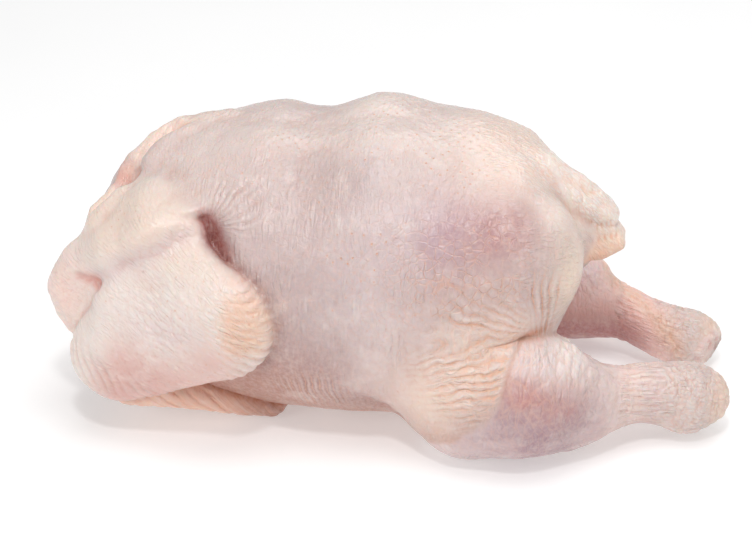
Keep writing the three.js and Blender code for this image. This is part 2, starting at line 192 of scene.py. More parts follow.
def table(x, Y):
    X = np.array(TX, float)
    Y = np.array(Y, float)
    m = np.gradient(Y, X)
    i = np.clip(np.searchsorted(X, x) - 1, 0, len(X) - 2)
    h = X[i + 1] - X[i]
    t = np.clip((x - X[i]) / h, 0, 1)
    t2 = t * t
    t3 = t2 * t
    return (2 * t3 - 3 * t2 + 1) * Y[i] + (t3 - 2 * t2 + t) * h * m[i] + (-2 * t3 + 3 * t2) * Y[i + 1] + (t3 - t2) * h * m[i + 1]


def trunk(P):
    x, y, z = P.T
    xc = np.clip(x, TX[0], TX[-1])
    top, mid, low, half = table(xc, TOP), table(xc, MID), table(xc, LOW), table(xc, HALF)
    up = z - mid
    tall = np.where(up > 0, top - mid, mid - low)
    r = ((np.abs(y) / half) ** ROUND + (np.abs(up) / tall) ** ROUND) ** (1 / ROUND)
    reach = np.hypot(y, up)
    d = np.where(r < 1e-4, -np.minimum(half, tall), reach - reach / np.maximum(r, 1e-6))
    past = np.maximum(TX[0] - x, 0) + np.maximum(x - TX[-1], 0)
    d = np.where(past > 0, np.hypot(np.maximum(d, 0), past), d) * 0.9
    swell = 5.0 * bell((x - 2) / 16) * bell((np.abs(y) - 26) / 30) + 2.4 * bell((x + 44) / 15) * bell((np.abs(y) - 24) / 26)
    return d - swell * ease(z, 60, 95)


def chain(P, c, k=2.5):
    d = None
    for a, b in zip(c[:-1], c[1:]):
        e = round_cone(P, a[:3], b[:3], a[3], b[3])
        d = e if d is None else join(d, e, k)
    return d


def tail(P):
    """a finger-like lobe on top, and under it a wedge with a flat end"""
    A = np.stack([P[:, 0], np.abs(P[:, 1]), P[:, 2]], 1)
    lobe = chain(P, [(72, 0, 102, 9.5), (86, 0, 100.4, 4.6), (95, 0, 94.0, 3.8), (100.5, 0, 89.8, 2.8), (103, 0, 88.1, 2.0)], 3)
    lobe = join(lobe, chain(A, [(74, 7, 97, 8), (84, 7.5, 97.2, 5.0), (91.5, 6.5, 93.0, 4.4), (98, 5, 89.0, 3.8), (101.6, 3.2, 86.8, 2.9)], 3), 2.6)
    edge = None
    for (ax, az), (bx, bz) in zip(TAIL_WEDGE, TAIL_WEDGE[1:] + TAIL_WEDGE[:1]):
        n = np.array([az - bz, bx - ax], float)
        n /= np.hypot(*n)
        e = (P[:, 0] - ax) * n[0] + (P[:, 2] - az) * n[1]
        edge = e if edge is None else keep(edge, e, 2.0)
    half = 10.0 + 4.5 * ease(-P[:, 2], -88, -70) - 3.0 * ease(P[:, 0], 88, 110)
    fan = keep(edge, np.abs(P[:, 1]) - half, 4.0)
    return join(groove_cut(fan, lobe, 0.5, 0.9), lobe, 0.7)


def wing_parts(Q, w):
    upper = flat_cone(Q, w["S"], w["E"], w["sr"], w["er"], 0.8, (-0.3, 1, 0.3))
    fore = flat_cone(Q, w["F"], w["W"], w["fr"], w["wr"], 0.6, (-0.1, 1, 0.3))
    lobe = ellipsoid(Q, w["L"], w["Lr"], turned((1, 0.25, 0), (0, 0, 1)))
    web = plate(Q, w["web"]) - w["wr0"]
    web2 = plate(Q, w["web2"]) - w["wr2"]
    hand = flat_cone(Q, w["h0"], w["h1"], 13, 7, 0.7, (0, 0.5, 1))
    arm = join(join(upper, fore, 9), join(web, plate(Q, w["web4"]) - 10.3, 6), 8)
    shift = np.array([w["S"][0] + 88, w["S"][2] - 88], float)
    xz = Q[:, [0, 2]] - shift
    lean = Q[:, 1] - (w["S"][1] + 20)
    xz = xz - lean[:, None] * np.array([0.12, 0.75])
    notch = None
    for a, b in zip(WING_NOTCH[:-1], WING_NOTCH[1:]):
        a, e = np.array(a, float), np.array(b, float) - np.array(a, float)
        t = np.clip((xz - a) @ e / (e @ e), 0, 1)
        g = np.sqrt((((xz - a) - t[:, None] * e) ** 2).sum(1)) - 6
        notch = g if notch is None else join(notch, g, 4)
    arm = keep(arm, -notch, 3)
    front = join(join(lobe, web2, 8), plate(Q, w["web3"]) - 6.5, 10)
    move = np.array([shift[0], w["S"][1] - 40, shift[1]])
    both = join(arm, front, 1.0 + 10 * ease(Q[:, 2] - shift[1], 64, 80))
    both = join(both, chain(Q - move, BAND, 6), 5)
    both = keep(both, -(flat_cone(Q - move, (-118, 51.4, 69.8), (-109.5, 55.0, 68.8), *w["pit"], 0.7, (0, 0, 1))), 5.0)
    return both, hand


def neck_cuts(P):
    """the crevices of the neck opening, with uneven edges"""
    W = P + np.stack([perlin(P / 5.5, 181), perlin(P / 5.5, 182), perlin(P / 5.5, 183)], 1) * 1.5
    return np.min([chain(W, c, 1.5) for c in NECK_CUTS], 0)


def inside_box(P, lo, hi):
    return np.flatnonzero((P > np.array(lo)).all(1) & (P < np.array(hi)).all(1))


def groove_cut(d, other, gap, depth, k=0.8):
    """cuts a crevice into d along where it meets another part: gap wide, depth deep"""
    cut = np.maximum(other - gap, -(d + depth))
    return keep(d, -cut, k)


def bird(P):
    x, y, z = P.T
    d = join(trunk(P), round_cone(P, (-80, 3, 80), (-97, 5, 82), 28, 17.5), 20)
    d = keep(d, -round_cone(P, (-116, 0, 38), (-66, 0, -1), 4.5, 4.5), 13)
    i = inside_box(P, (50, -40, 40), (130, 40, 125))
    if len(i):
        d[i] = join(d[i], tail(P[i]), 1.4 + 9 * (1 - ease(x[i] - 0.6 * (z[i] - 90), 74, 86)))
        d[i] = keep(d[i], -ellipsoid(P[i], (84, 0, 50), (9, 15, 6)), 3)
    for s in (1, -1):
        lo = (-20, 5 if s > 0 else -110, -20)
        hi = (175, 110 if s > 0 else -5, 135)
        i = inside_box(P, (-20, -20 if s > 0 else -110, -20), (175, 110 if s > 0 else 20, 135))
        if len(i):
            Q = P[i] * np.array([1, s, 1])
            L = LEG[s]
            xi = x[i]
            th = flat_cone(Q, L["hip"], L["knee"], L["hr"], L["kr"], 0.92, (0.1, 1, 0))
            di = join(d[i], th, 1.5 + 15 * (1 - ease(xi, 60, 84)))
            sh = chain(Q, L["c"])
            if s > 0:
                sh = keep(sh, (Q - np.array(FAR_END)) @ np.array(FAR_FACE), 1.6)
            di = groove_cut(di, sh, 1.0 * ease(xi, 62, 67) * (1 - ease(xi, 69, 77)), 1.3)
            d[i] = join(di, sh, 1.0 + 11 * (1 - ease(xi, 42, 62)))
        i = inside_box(P, (-150, -5 if s > 0 else -110, -20), (-5, 110 if s > 0 else 5, 130))
        if len(i):
            Q = P[i] * np.array([1, s, 1])
            w = WING[s]
            xi, zi = x[i], z[i]
            wing, hand = wing_parts(Q, w)
            hx = w["S"][0] + 88  # how far this wing is moved from the near one
            hz = w["S"][2] - 88
            di = d[i]
            di = groove_cut(di, hand, 1.2, 3.0)
            di = join(di, hand, 1.2)
            under = Q - np.array([hx, w["S"][1] - 40, hz])
            di = keep(keep(di, -(chain(under, DIP, 3) - w["dip"]), 6.0), -(chain(under, ARMPIT, 3) - 0.5 * w["dip"] - 0.5), 6.5)
            soft = (1 - ease(xi - hx, -95, -62)) * ease(zi - hz, 60, 88)
            soft = np.maximum(soft, 0.7 * ease(zi - hz, 98, 104) * (1 - ease(xi - hx, -64, -56)))
            d[i] = join(di, wing, 1.2 + 16 * soft)
    # neck opening: two skin edges with a crevice of raw flesh between them
    i = inside_box(P, (-145, -60, 50), (-45, 45, 135))
    if len(i):
        di = join(d[i], chain(P[i], NEAR_LIP, 3), 5)
        di = join(di, chain(P[i], FAR_LIP, 3), 5)
        di = keep(di, -chain(P[i] - np.array([-1.6, 0.4, 3.0]), [(*p, 4.6) for p in NECK_LINE[1:-1]], 3), 4.0)
        di = keep(di, -neck_cuts(P[i]), 3.2)
        d[i] = di
    i = inside_box(P, (-12, -85, 8), (30, 85, 50))
    if len(i):
        d[i] = keep(d[i], -chain(np.stack([x[i], np.abs(y[i]), z[i]], 1), WEB_HOLLOW, 3), 2.6)
    d = keep(d, -z, 1.0)
    return d


# =====================================================================================
# 2. Meshing
# =====================================================================================
def skin_mesh(f, lo, hi, h):
    lo = np.array(lo, float)
    hi = np.array(hi, float)
    C = 8
    n = ((np.ceil((hi - lo) / h).astype(int)) // C + 1) * C + 1
    nc = (n - 1) // C + 1
    G = np.stack(np.meshgrid(*[lo[i] + h * C * np.arange(nc[i]) for i in range(3)], indexing="ij"), -1).reshape(-1, 3)
    F0 = f(G).reshape(nc)
    F = np.repeat(np.repeat(np.repeat(np.where(F0 > 0, 1e3, -1e3), C, 0), C, 1), C, 2)[: n[0], : n[1], : n[2]].astype(np.float32)

    def blocks(A, reach):
        b = np.abs(A) < reach
        s = [slice(None, -1), slice(1, None)]
        out = np.zeros(tuple(np.array(A.shape) - 1), bool)
        for i in s:
            for j in s:
                for k in s:
                    out |= b[i, j, k]
        return out

    def corners(idx, step, m):
        off = np.stack(np.meshgrid(*[np.arange(m + 1)] * 3, indexing="ij"), -1).reshape(-1, 3)
        return (idx[:, None, :] * (step * m) + off[None] * step).reshape(-1, 3)

    # halve the blocks once, then fill the ones near the skin
    idx = np.argwhere(blocks(F0, C * h * 1.5))
    half = np.full(tuple((n - 1) // 4 + 1), 1e3)
    p = np.unique(corners(idx, 4, 2), axis=0)
    half[p[:, 0] // 4, p[:, 1] // 4, p[:, 2] // 4] = f(lo + p * h)
    q = np.argwhere(np.abs(half) < 900)
    F_sign = np.where(half[q[:, 0], q[:, 1], q[:, 2]] > 0, 1e3, -1e3)
    for a in range(4):
        for b in range(4):
            for c in range(4):
                t = q * 4 + [a, b, c]
                ok = (t < n).all(1)
                F[t[ok, 0], t[ok, 1], t[ok, 2]] = F_sign[ok]
    idx = np.argwhere(blocks(half, 4 * h * 1.35))
    need = np.zeros(tuple(n), bool)
    p = corners(idx, 1, 4)
    need[p[:, 0], p[:, 1], p[:, 2]] = True
    p = np.argwhere(need)
    out = np.empty(len(p))
    for a in range(0, len(p), 400000):
        out[a : a + 400000] = f(lo + p[a : a + 400000] * h)
    F[p[:, 0], p[:, 1], p[:, 2]] = out
    print("field points", len(p), "%.1fs" % (time.time() - T0), flush=True)

    s = F < 0
    cnt = np.zeros(tuple(np.array(s.shape) - 1), np.int8)
    sl = [slice(None, -1), slice(1, None)]
    for i in sl:
        for j in sl:
            for k in sl:
                cnt += s[i, j, k]
    act = (cnt > 0) & (cnt < 8)
    ci = np.argwhere(act)
    vid = np.full(act.shape, -1, np.int64)
    vid[act] = np.arange(len(ci))
    cor = np.array([[0, 0, 0], [1, 0, 0], [0, 1, 0], [1, 1, 0], [0, 0, 1], [1, 0, 1], [0, 1, 1], [1, 1, 1]])
    fv = np.stack([F[ci[:, 0] + o[0], ci[:, 1] + o[1], ci[:, 2] + o[2]] for o in cor], 1).astype(float)
    acc = np.zeros((len(ci), 3))
    num = np.zeros(len(ci))
    for a, b in [(0, 1), (2, 3), (4, 5), (6, 7), (0, 2), (1, 3), (4, 6), (5, 7), (0, 4), (1, 5), (2, 6), (3, 7)]:
        fa, fb = fv[:, a], fv[:, b]
        c = (fa < 0) != (fb < 0)
        t = np.where(c, fa / np.where(c, fa - fb, 1), 0)
        acc += (cor[a] + (cor[b] - cor[a]) * t[:, None]) * c[:, None]
        num += c
    V = lo + (ci + acc / num[:, None]) * h
    quads = []
    for ax in range(3):
        s0 = [slice(None)] * 3
        s1 = [slice(None)] * 3
        s0[ax] = slice(0, -1)
        s1[ax] = slice(1, None)
        A, B = s[tuple(s0)], s[tuple(s1)]
        e = np.argwhere(A != B)
        b1, b2 = [(1, 2), (2, 0), (0, 1)][ax]

        def cell(d1, d2):
            g = e.copy()
            g[:, b1] -= d1
            g[:, b2] -= d2
            return vid[g[:, 0], g[:, 1], g[:, 2]]

        q = np.stack([cell(1, 1), cell(0, 1), cell(0, 0), cell(1, 0)], 1)
        quads.append(np.where(A[e[:, 0], e[:, 1], e[:, 2]][:, None], q, q[:, ::-1]))
    return V, np.concatenate(quads)


def vertex_normals(V, Q):
    n = np.cross(V[Q[:, 2]] - V[Q[:, 0]], V[Q[:, 3]] - V[Q[:, 1]])
    N = np.zeros_like(V)
    for i in range(4):
        for a in range(3):
            N[:, a] += np.bincount(Q[:, i], n[:, a], len(V))
    return N / np.maximum(np.linalg.norm(N, axis=1, keepdims=True), 1e-9)


class Net:
    """neighbour averages over the edges of the quads"""

    def __init__(s, n, Q):
        a = np.concatenate([Q[:, i] for i in range(4)])
        b = np.concatenate([Q[:, (i + 1) % 4] for i in range(4)])
        s.a, s.b, s.n = np.concatenate([a, b]), np.concatenate([b, a]), n
        s.deg = np.maximum(np.bincount(s.a, minlength=n), 1)

    def mean(s, X):
        if X.ndim == 1:
            return np.bincount(s.a, X[s.b], s.n) / s.deg
        return np.stack([np.bincount(s.a, X[s.b, i], s.n) / s.deg for i in range(X.shape[1])], 1)

    def smooth(s, X, times, w=0.5):
        for _ in range(times):
            X = X * (1 - w) + s.mean(X) * w
        return X


# =====================================================================================
# 3. Noise
# =====================================================================================
def scramble(i, j, k, seed):
    h = i.astype(np.uint32) * np.uint32(0x9E3779B1)
    h ^= j.astype(np.uint32) * np.uint32(0x85EBCA77)
    h ^= k.astype(np.uint32) * np.uint32(0xC2B2AE3D)
    h ^= np.uint32((seed * 0x27D4EB2F) & 0xFFFFFFFF)
    h ^= h >> np.uint32(15)
    h *= np.uint32(0x2C1B3C6D)
    h ^= h >> np.uint32(12)
    h *= np.uint32(0x297A2D39)
    h ^= h >> np.uint32(15)
    return h


def perlin(P, seed=0):
    c = np.floor(P).astype(np.int64)
    f = P - c
    w = f * f * f * (f * (f * 6 - 15) + 10)
    out = np.zeros(len(P))
    for a in (0, 1):
        for b in (0, 1):
            for g in (0, 1):
                h = scramble(c[:, 0] + a, c[:, 1] + b, c[:, 2] + g, seed)
                gx = (h & np.uint32(1023)).astype(float) / 511.5 - 1
                gy = ((h >> np.uint32(10)) & np.uint32(1023)).astype(float) / 511.5 - 1
                gz = ((h >> np.uint32(20)) & np.uint32(1023)).astype(float) / 511.5 - 1
                dot = gx * (f[:, 0] - a) + gy * (f[:, 1] - b) + gz * (f[:, 2] - g)
                wx = w[:, 0] if a else 1 - w[:, 0]
                wy = w[:, 1] if b else 1 - w[:, 1]
                wz = w[:, 2] if g else 1 - w[:, 2]
                out += wx * wy * wz * dot
    return out * 1.3


def cloudy(P, seed=0, octaves=3, fall=0.5):
    out, amp = 0, 1.0
    for o in range(octaves):
        out = out + amp * perlin(P * 2.0**o, seed + 17 * o)
        amp *= fall
    return out


def cells(P, seed=0, jitter=0.9):
    """distance to the nearest and the second nearest scattered point, and the nearest one's number in 0..1"""
    c = np.floor(P).astype(np.int64)
    f1 = np.full(len(P), 9.0)
    f2 = np.full(len(P), 9.0)
    own = np.zeros(len(P))
    for a in (-1, 0, 1):
        for b in (-1, 0, 1):
            for g in (-1, 0, 1):
                i, j, k = c[:, 0] + a, c[:, 1] + b, c[:, 2] + g
                h = scramble(i, j, k, seed)
                q = np.stack([(h & np.uint32(1023)), (h >> np.uint32(10)) & np.uint32(1023), (h >> np.uint32(20)) & np.uint32(1023)], 1) / 1023.0
                q = (q - 0.5) * jitter + 0.5 + np.stack([i, j, k], 1)
                d = np.sqrt(((q - P) ** 2).sum(1))
                closer = d < f1
                f2 = np.where(closer, f1, np.minimum(f2, d))
                own = np.where(closer, (h & np.uint32(0xFFFF)) / 65535.0, own)
                f1 = np.where(closer, d, f1)
    return f1, f2, own


def cracks(P, width, seed=0, jitter=0.9):
    """pads with narrow valleys between them: 0 on a pad, 1 in a valley"""
    f1, f2, _ = cells(P, seed, jitter)
    return bell((f2 - f1) / width)


def flat(u, v, w=0.0):
    return np.stack([u, v, np.zeros_like(u) + w], 1)


# =====================================================================================
# 4. Where each vertex is on the bird
# =====================================================================================
class Map:
    def __init__(s, V):
        x, y, z = V.T
        s.V = V
        s.side = np.where(y < 0, -1.0, 1.0)
        s.left = 1 - ease(y, -4, 4)
        s.Q = V * np.stack([np.ones_like(y), s.side, np.ones_like(y)], 1)
        right = s.side > 0
        s.QL = s.Q - right[:, None] * np.array([-3.0, -2.0, -5.0])
        s.QW = s.Q - right[:, None] * np.array([18.0, 4.0, -12.0])
        n = len(V)
        s.d_trunk = trunk(V)
        s.d_thigh = np.full(n, 60.0)
        s.d_shank = np.full(n, 60.0)
        s.d_wing = np.full(n, 60.0)
        s.d_hand = np.full(n, 60.0)
        s.d_tail = np.full(n, 60.0)
        for k in (-1, 1):
            i = np.flatnonzero((s.side == k) & (x > -20))
            L = LEG[k]
            s.d_thigh[i] = flat_cone(s.Q[i], L["hip"], L["knee"], L["hr"], L["kr"], 0.92, (0.1, 1, 0))
            s.d_shank[i] = chain(s.Q[i], L["c"])
            i = np.flatnonzero((s.side == k) & (x < -2))
            s.d_wing[i], s.d_hand[i] = wing_parts(s.Q[i], WING[k])
        i = np.flatnonzero((x > 50) & (np.abs(y) < 40) & (z > 40))
        s.d_tail[i] = tail(V[i])
        s.d_neck = np.full(n, 60.0)
        i = np.flatnonzero((x < -50) & (z > 55))
        s.d_neck[i] = neck_cuts(V[i])
        d = np.stack([s.d_trunk, s.d_thigh, s.d_shank, s.d_wing, s.d_hand, s.d_tail], 1)
        d = d - d.min(1, keepdims=True)
        w = np.exp(-d / 1.2)
        w /= w.sum(1, keepdims=True)
        s.trunk, s.thigh, s.shank, s.wing, s.hand, s.tail = w.T
        s.angle = np.arctan2(y, z - 58)
        # turn about the drumstick's axis
        ly = np.interp(s.QL[:, 0], [48, 74, 92, 109, 126, 150], [52, 51.5, 47.3, 40.5, 33.5, 28.5])
        lz = np.interp(s.QL[:, 0], [48, 74, 92, 109, 126, 150], [27, 26, 23, 22, 20, 17])
        s.turn = np.arctan2(s.QL[:, 2] - lz, s.QL[:, 1] - ly)
        s.turn = np.where(s.turn < -np.pi / 2, s.turn + 2 * np.pi, s.turn)
        s.around = s.angle * 68

    def ball(s, c, r, P=None):
        P = s.Q if P is None else P
        return bell(np.sqrt((((P - np.array(c, float)) / np.array(r, float)) ** 2).sum(1)))


# the crease under the thigh, where its skin gathers against the drumstick
FOLD = np.array([74.0, 58.0, 59.0])
ELBOW = np.array([-63.0, 79.0, 69.0])


def skin_edge(z):
    """x of the edge of the thigh's skin on the drumstick"""
    return np.interp(z, [0, 10, 22, 27, 32.5, 37, 42, 45, 52.9, 59.4, 64], [20, 30, 46, 51, 57, 59.5, 61.3, 61.9, 63.9, 67.6, 72])


def pillow(P, seed, soft=0.55, jitter=0.9):
    """puffy pads: 1 in their middle, 0 in the valleys between them"""
    f1, f2, _ = cells(P, seed, jitter)
    return np.sqrt(np.clip((f2 - f1) / soft, 0, 1))


def line_at(P, pts):
    return chain(P, [(*p, 0.0) for p in pts], 0.01)


# wing: the soft valley under the upper arm, and the ridge above it
ARM_VALLEY = [(-64, 52, 97), (-74.8, 58.5, 93.8), (-84.7, 61.6, 89.0), (-96, 59.5, 82.0), (-107, 54, 72)]
ARM_RIDGE = [(-69.7, 51.1, 101.8), (-81.2, 56.8, 98), (-93.3, 59.9, 91.1), (-103.8, 57, 82.5)]


def stripes(m):
    """families of creases: a number that is whole in each valley, the family's weight, its depth in mm and how orange its valleys are"""
    V, Q, QL, QW = m.V, m.Q, m.QL, m.QW
    lx, lz = QL[:, 0], QL[:, 2]
    body = m.thigh + m.trunk
    out = ease(Q[:, 1], 46, 58)
    edge = lx - skin_edge(lz)
    families = []

    def add(t, along, weight, depth, warm, seed):
        k = np.round(t)
        fade = np.clip(0.68 + 1.1 * perlin(flat(along + k * 5.13, k * 3.71), seed), 0, 1)
        families.append((t, np.clip(weight, 0, 1) * fade, depth, warm))

    # knee: long wrinkles that run down and away from the fold
    t = ease(lz, 55, 66)
    c = np.arctan2(lz - 58, np.maximum(84 - lx, 4)) * 24 * t + (lz - 61 - 0.31 * (lx - 70)) * (1 - t)
    c = c + 1.5 * perlin(V / 10, 201) + 0.6 * perlin(V / 4, 202)
    w = 1.7 * m.ball((50, 68, 53), (19, 34, 23), QL) * out * (1 - ease(edge, -2.6, -0.4)) * ease(lz, 16, 26)
    add(c / 3.0, (70 - lx) / 13, w, 0.7, 1.1, 203)
    m.knee_c = c
    # elbow: streaks that run to its rim
    ex, ez = QW[:, 0] + 95, QW[:, 2] - 82
    er, ea = np.hypot(ex, ez), np.arctan2(ez, ex)
    w = 1.5 * ease(er, 36, 45) * ease(QW[:, 0], -58, -50) * bell((QW[:, 2] - 62) / 17) * m.wing * out
    add(ea / 0.062 + 0.22 * perlin(V / 9, 204), er / 16, w, 0.42, 0.8, 205)
    # pleats that meet in the fold behind the knee
    qx, qz = lx - 75.4, lz - 40
    pr, pa = np.hypot(qx, qz), np.arctan2(qx, np.maximum(qz, 0.1)) + 0.02 * perlin(V / 7, 55)
    w = 1.5 * ease(Q[:, 1], 40, 48) * (1 - ease(np.abs(pa - 0.02), 0.10, 0.2)) * ease(lz, 56.5, 60) * (1 - ease(pr, 30, 54)) * body
    add(pa * 12 + 0.5 * perlin(flat(pr / 11, pa * 2), 57), pr / 16, w, 1.0, 1.4, 206)
    # above the armpit
    ax, az = QW[:, 0] + 63, QW[:, 2] - 96
    ar, aa = np.hypot(ax, az), np.arctan2(az, ax)
    w = 1.5 * m.ball((-52, 50, 105), (13, 18, 9), QW) * body * ease(ar, 3, 7)
    add(aa / 0.17 + 0.4 * perlin(V / 7, 207), ar / 9, w, 0.5, 0.25, 208)
    # rows of curved lines on the lower breast
    w = 1.3 * m.ball((-17, 64, 31), (15, 16, 11)) * m.trunk
    add((V[:, 0] + 0.16 * V[:, 2] + 1.2 * perlin(V / 9, 214)) / 2.9, V[:, 2] / 9, w, 0.6, 1.0, 215)
    # ankle
    xl = lx
    w = 1.2 * bell((xl - 118) / 9) * m.shank * (0.4 + 0.6 * bell((m.turn - 0.7) / 1.2))
    add(m.turn * 4.4 + 0.035 * (xl - 118) * np.cos(m.turn) + 0.5 * perlin(V / 9, 209), xl / 12, w, 0.5, 0.5, 210)
    # the end of the leg: slanting wrinkles over its top
    w = 1.0 * bell((xl - 134) / 8) * m.shank * bell((m.turn - 1.3) / 1.0)
    add((xl + 9 * m.turn) / 3.4 + 0.6 * perlin(V / 8, 211), m.turn * 1.6, w, 0.4, 0.5, 212)
    # hand
    add((QW[:, 0] + 0.9 * QW[:, 2] + 2.6 * perlin(V / 8, 78)) / 5.6, (QW[:, 2] + Q[:, 1]) / 16, m.hand, 0.55, 0.8, 213)
    # zigzag lines over the top of the drumstick: their valleys are mauve
    zig = np.abs((m.turn * 1.9 + 0.4 * perlin(V / 9, 216)) % 1 - 0.5) * 2
    w = 0.9 * bell((xl - 88) / 10) * m.shank * ease(edge, 2, 6) * bell((m.turn - 1.0) / 0.45) * ease(perlin(V / 8, 221), -0.5, 0.2)
    add((xl + 2.0 * zig + 1.8 * perlin(V / 5, 217)) / 3.0, m.turn * 2.5, w, 0.3, -1.3, 218)
    # lines along the tail's lobe
    w = 1.2 * m.tail * m.ball((88, 6, 98), (13, 9, 9))
    add((0.9 * np.abs(V[:, 1]) + V[:, 2] + 0.45 * V[:, 0] + 0.8 * perlin(V / 7, 219)) / 2.7, V[:, 0] / 8, w, 0.45, 0.9, 220)
    return families


def fat_band(m):
    """the fatty band that crosses the far leg from its top to its inner side"""
    xl = m.QL[:, 0]
    mid = np.interp(xl, [96, 108.7, 119.5, 128.8, 136.8, 142], [1.25, 1.44, 1.8, 2.47, 2.94, 3.2])
    return (1 - m.left) * m.shank * bell((m.turn - mid) / 0.42) * ease(xl, 96, 106) * (1 - ease(xl, 136, 143)), m.turn - mid


def relief(m, N):
    """how far the skin stands out (mm) at each vertex"""
    V, Q = m.V, m.Q
    x, y, z = V.T
    h = 1.0 * cloudy(V / 38, 3, 2) + 0.35 * cloudy(V / 13, 5, 2)
    # crepe on the flanks: fine upright wrinkles
    warp = 2.2 * perlin(V / 14, 11)
    crepe = 0.22 * cracks(flat((x + warp) / 3.1, m.around / 12), 0.3, 21) + 0.20 * perlin(np.stack([(x + warp) / 2.2, y / 9, z / 9], 1), 22)
    side = m.ball((-10, 66, 82), (52, 44, 36))
    h -= (0.15 + side) * (m.trunk + 0.3 * m.thigh) * crepe * (0.85 + 0.9 * perlin(V / 18, 23))
    h += 0.28 * (m.trunk + m.thigh) * perlin(np.stack([x / 6, y / 9, z / 9], 1), 26)
    # long soft upright folds low on the flank
    low = m.ball((0, 70, 45), (45, 40, 22))
    h += (0.3 * low + 0.45 * m.ball((-8, 70, 60), (16, 20, 16))) * perlin(np.stack([(x + 0.35 * (z - 40) + warp) / 4.2, y / 22, z / 22], 1), 24)
    # the web of skin between belly and thigh: a ridge with a hollow under it
    web = line_at(Q, WEB)
    h += 0.9 * bell(web / 1.7)
    # polygon pads on the thigh
    QL = m.QL
    w2 = np.stack([perlin(V / 7, 41), perlin(V / 7, 42), perlin(V / 7, 43)], 1) * 0.25
    pads = 1 - pillow(flat(QL[:, 0] / 4.4 + 0.25 * perlin(V / 7, 41), QL[:, 2] / 4.4 + 0.25 * perlin(V / 7, 42)), 44, 0.5)
    poly = m.ball((45, 64, 79), (25, 30, 16), QL) * (1 - m.ball(FOLD, (12, 14, 12), QL))
    h -= 0.42 * poly * (m.thigh + m.trunk) * (pads - 0.25)
    # wrinkles that run to the fold behind the knee
    lx, lz, out = QL[:, 0], QL[:, 2], ease(Q[:, 1], 46, 58)
    px, pz = lx - 104, lz - 60
    r = np.hypot(px, pz)
    phi = np.arctan2(pz + 1.4 * perlin(V / 10, 51) + 0.5 * perlin(V / 3.5, 59), -px)
    edge = lx - skin_edge(lz)
    stripe = stripes(m)
    for t, w, depth, warm in stripe:
        h += w * depth * (0.32 - bell((t - np.round(t)) / 0.23))
    mid = pillow(flat(m.knee_c / 4.2, r / 6), 60, 0.6)
    wide_knee = m.ball((43, 66, 54), (26, 34, 26), QL) * out * (1 - ease(edge, -2, 1))
    h += 0.45 * np.clip(wide_knee * 1.4, 0, 1) * (mid - 0.7)
    # the knee's skin ends in a rolled edge on the drumstick
    roll = out * ease(lz, 28, 44) * (1 - ease(lz, 60, 66))
    h += roll * (0.8 * (1 - ease(edge, -1.6, 0.8)) * ease(edge, -14, -2) - 0.15 * bell((edge - 1.0) / 1.0))
    # the thigh's skin tucks down into the fold
    tuck = m.ball((75.5, 56, 59.5), (7, 12, 4.5), QL)
    h -= 0.8 * tuck * m.thigh
    pad = m.ball((64, 62, 66), (6.5, 9, 7), QL)
    h += 1.3 * pad * (m.thigh + m.trunk)
    # faint lines along the thigh's rear
    rearl = m.ball((83, 44, 78), (8, 20, 22), QL)
    h -= 0.28 * rearl * cracks(flat((lx - 0.2 * lz) / 2.6, lz / 11), 0.3, 66)
    # rings above the ankle, zigzags on the drumstick and pebbles on the knob
    leg = m.shank
    xl = QL[:, 0]
    ring = bell((xl - 111) / 5) * leg
    h -= ring * 0.6 * cracks(flat((xl + 2.4 * perlin(V / 7, 61)) / 3.3, m.turn / 0.8), 0.3, 67)
    zig = bell((xl - 92) / 20) * leg * ease(z, 22, 40)
    h -= zig * 0.6 * cracks(flat((xl + 2.2 * perlin(V / 4, 62)) / 4.6, m.turn * 3.0), 0.24, 63)
    knob = ease(xl, 121, 132) * leg
    h += knob * (0.32 - 0.55 * cracks(V / 2.9 + w2, 0.22, 64))
    h += 0.3 * leg * perlin(V / 6, 65)
    band, off = fat_band(m)
    h += 1.1 * band * (pillow(flat(xl / 5.5 + off, off * 5.5 + 0.4 * perlin(V / 5, 88)), 87, 0.6) - 0.55)
    # strands on the far leg's cut end
    face = (1 - m.left) * leg * bell((V - np.array(FAR_END)) @ np.array(FAR_FACE) / 1.6)
    h += face * 0.9 * perlin(flat((y + 0.4 * z) / 2.6, (z - 0.4 * y) / 9), 70)
    # flesh streaks along the drumstick
    h += 0.3 * leg * bell((xl - 90) / 26) * perlin(flat(xl / 16, m.turn * 3.2), 69)
    # wing: fine wrinkles on the flat of the forearm, scaly lower half
    QW = m.QW
    # wing: the fleshy upper arm over a soft valley
    dv, dr = line_at(QW, ARM_VALLEY), line_at(QW, ARM_RIDGE)
    h += m.wing * (1.2 * bell(dr / 5.5) - 1.3 * bell(dv / 4.6))
    h += m.wing * m.ball((-74, 72, 76), (14, 14, 12), QW) * 1.1
    t = unit(np.array(WING[-1]["W"], float) - np.array(WING[-1]["F"], float))
    along = (QW - np.array(WING[-1]["F"], float)) @ t
    across = QW[:, 2] + 0.42 * (QW[:, 0] + 54)
    flatw = m.ball((-78, 76, 62), (22, 16, 16), QW) * m.wing
    slant = QW[:, 0] * 0.45 + QW[:, 2] * 0.9 + 1.2 * perlin(V / 9, 72)
    run = QW[:, 0] * 0.9 - QW[:, 2] * 0.45
    h += flatw * 0.85 * (pillow(flat(run / 7.5, slant / 2.9), 73, 0.6) - 0.75)
    scaly = m.wing * m.ball((-84, 74, 44), (32, 20, 16), QW)
    h += scaly * 0.6 * (pillow(flat(along / 5.2, across / 3.0), 74, 0.6, 0.6) - 0.7)
    # forearm edge is slightly serrated
    low_edge = bell((across - 12) / 9) * m.wing
    h += low_edge * 0.42 * np.sin((along + 2.0 * perlin(V / 11, 84)) * 2 * np.pi / 3.9)
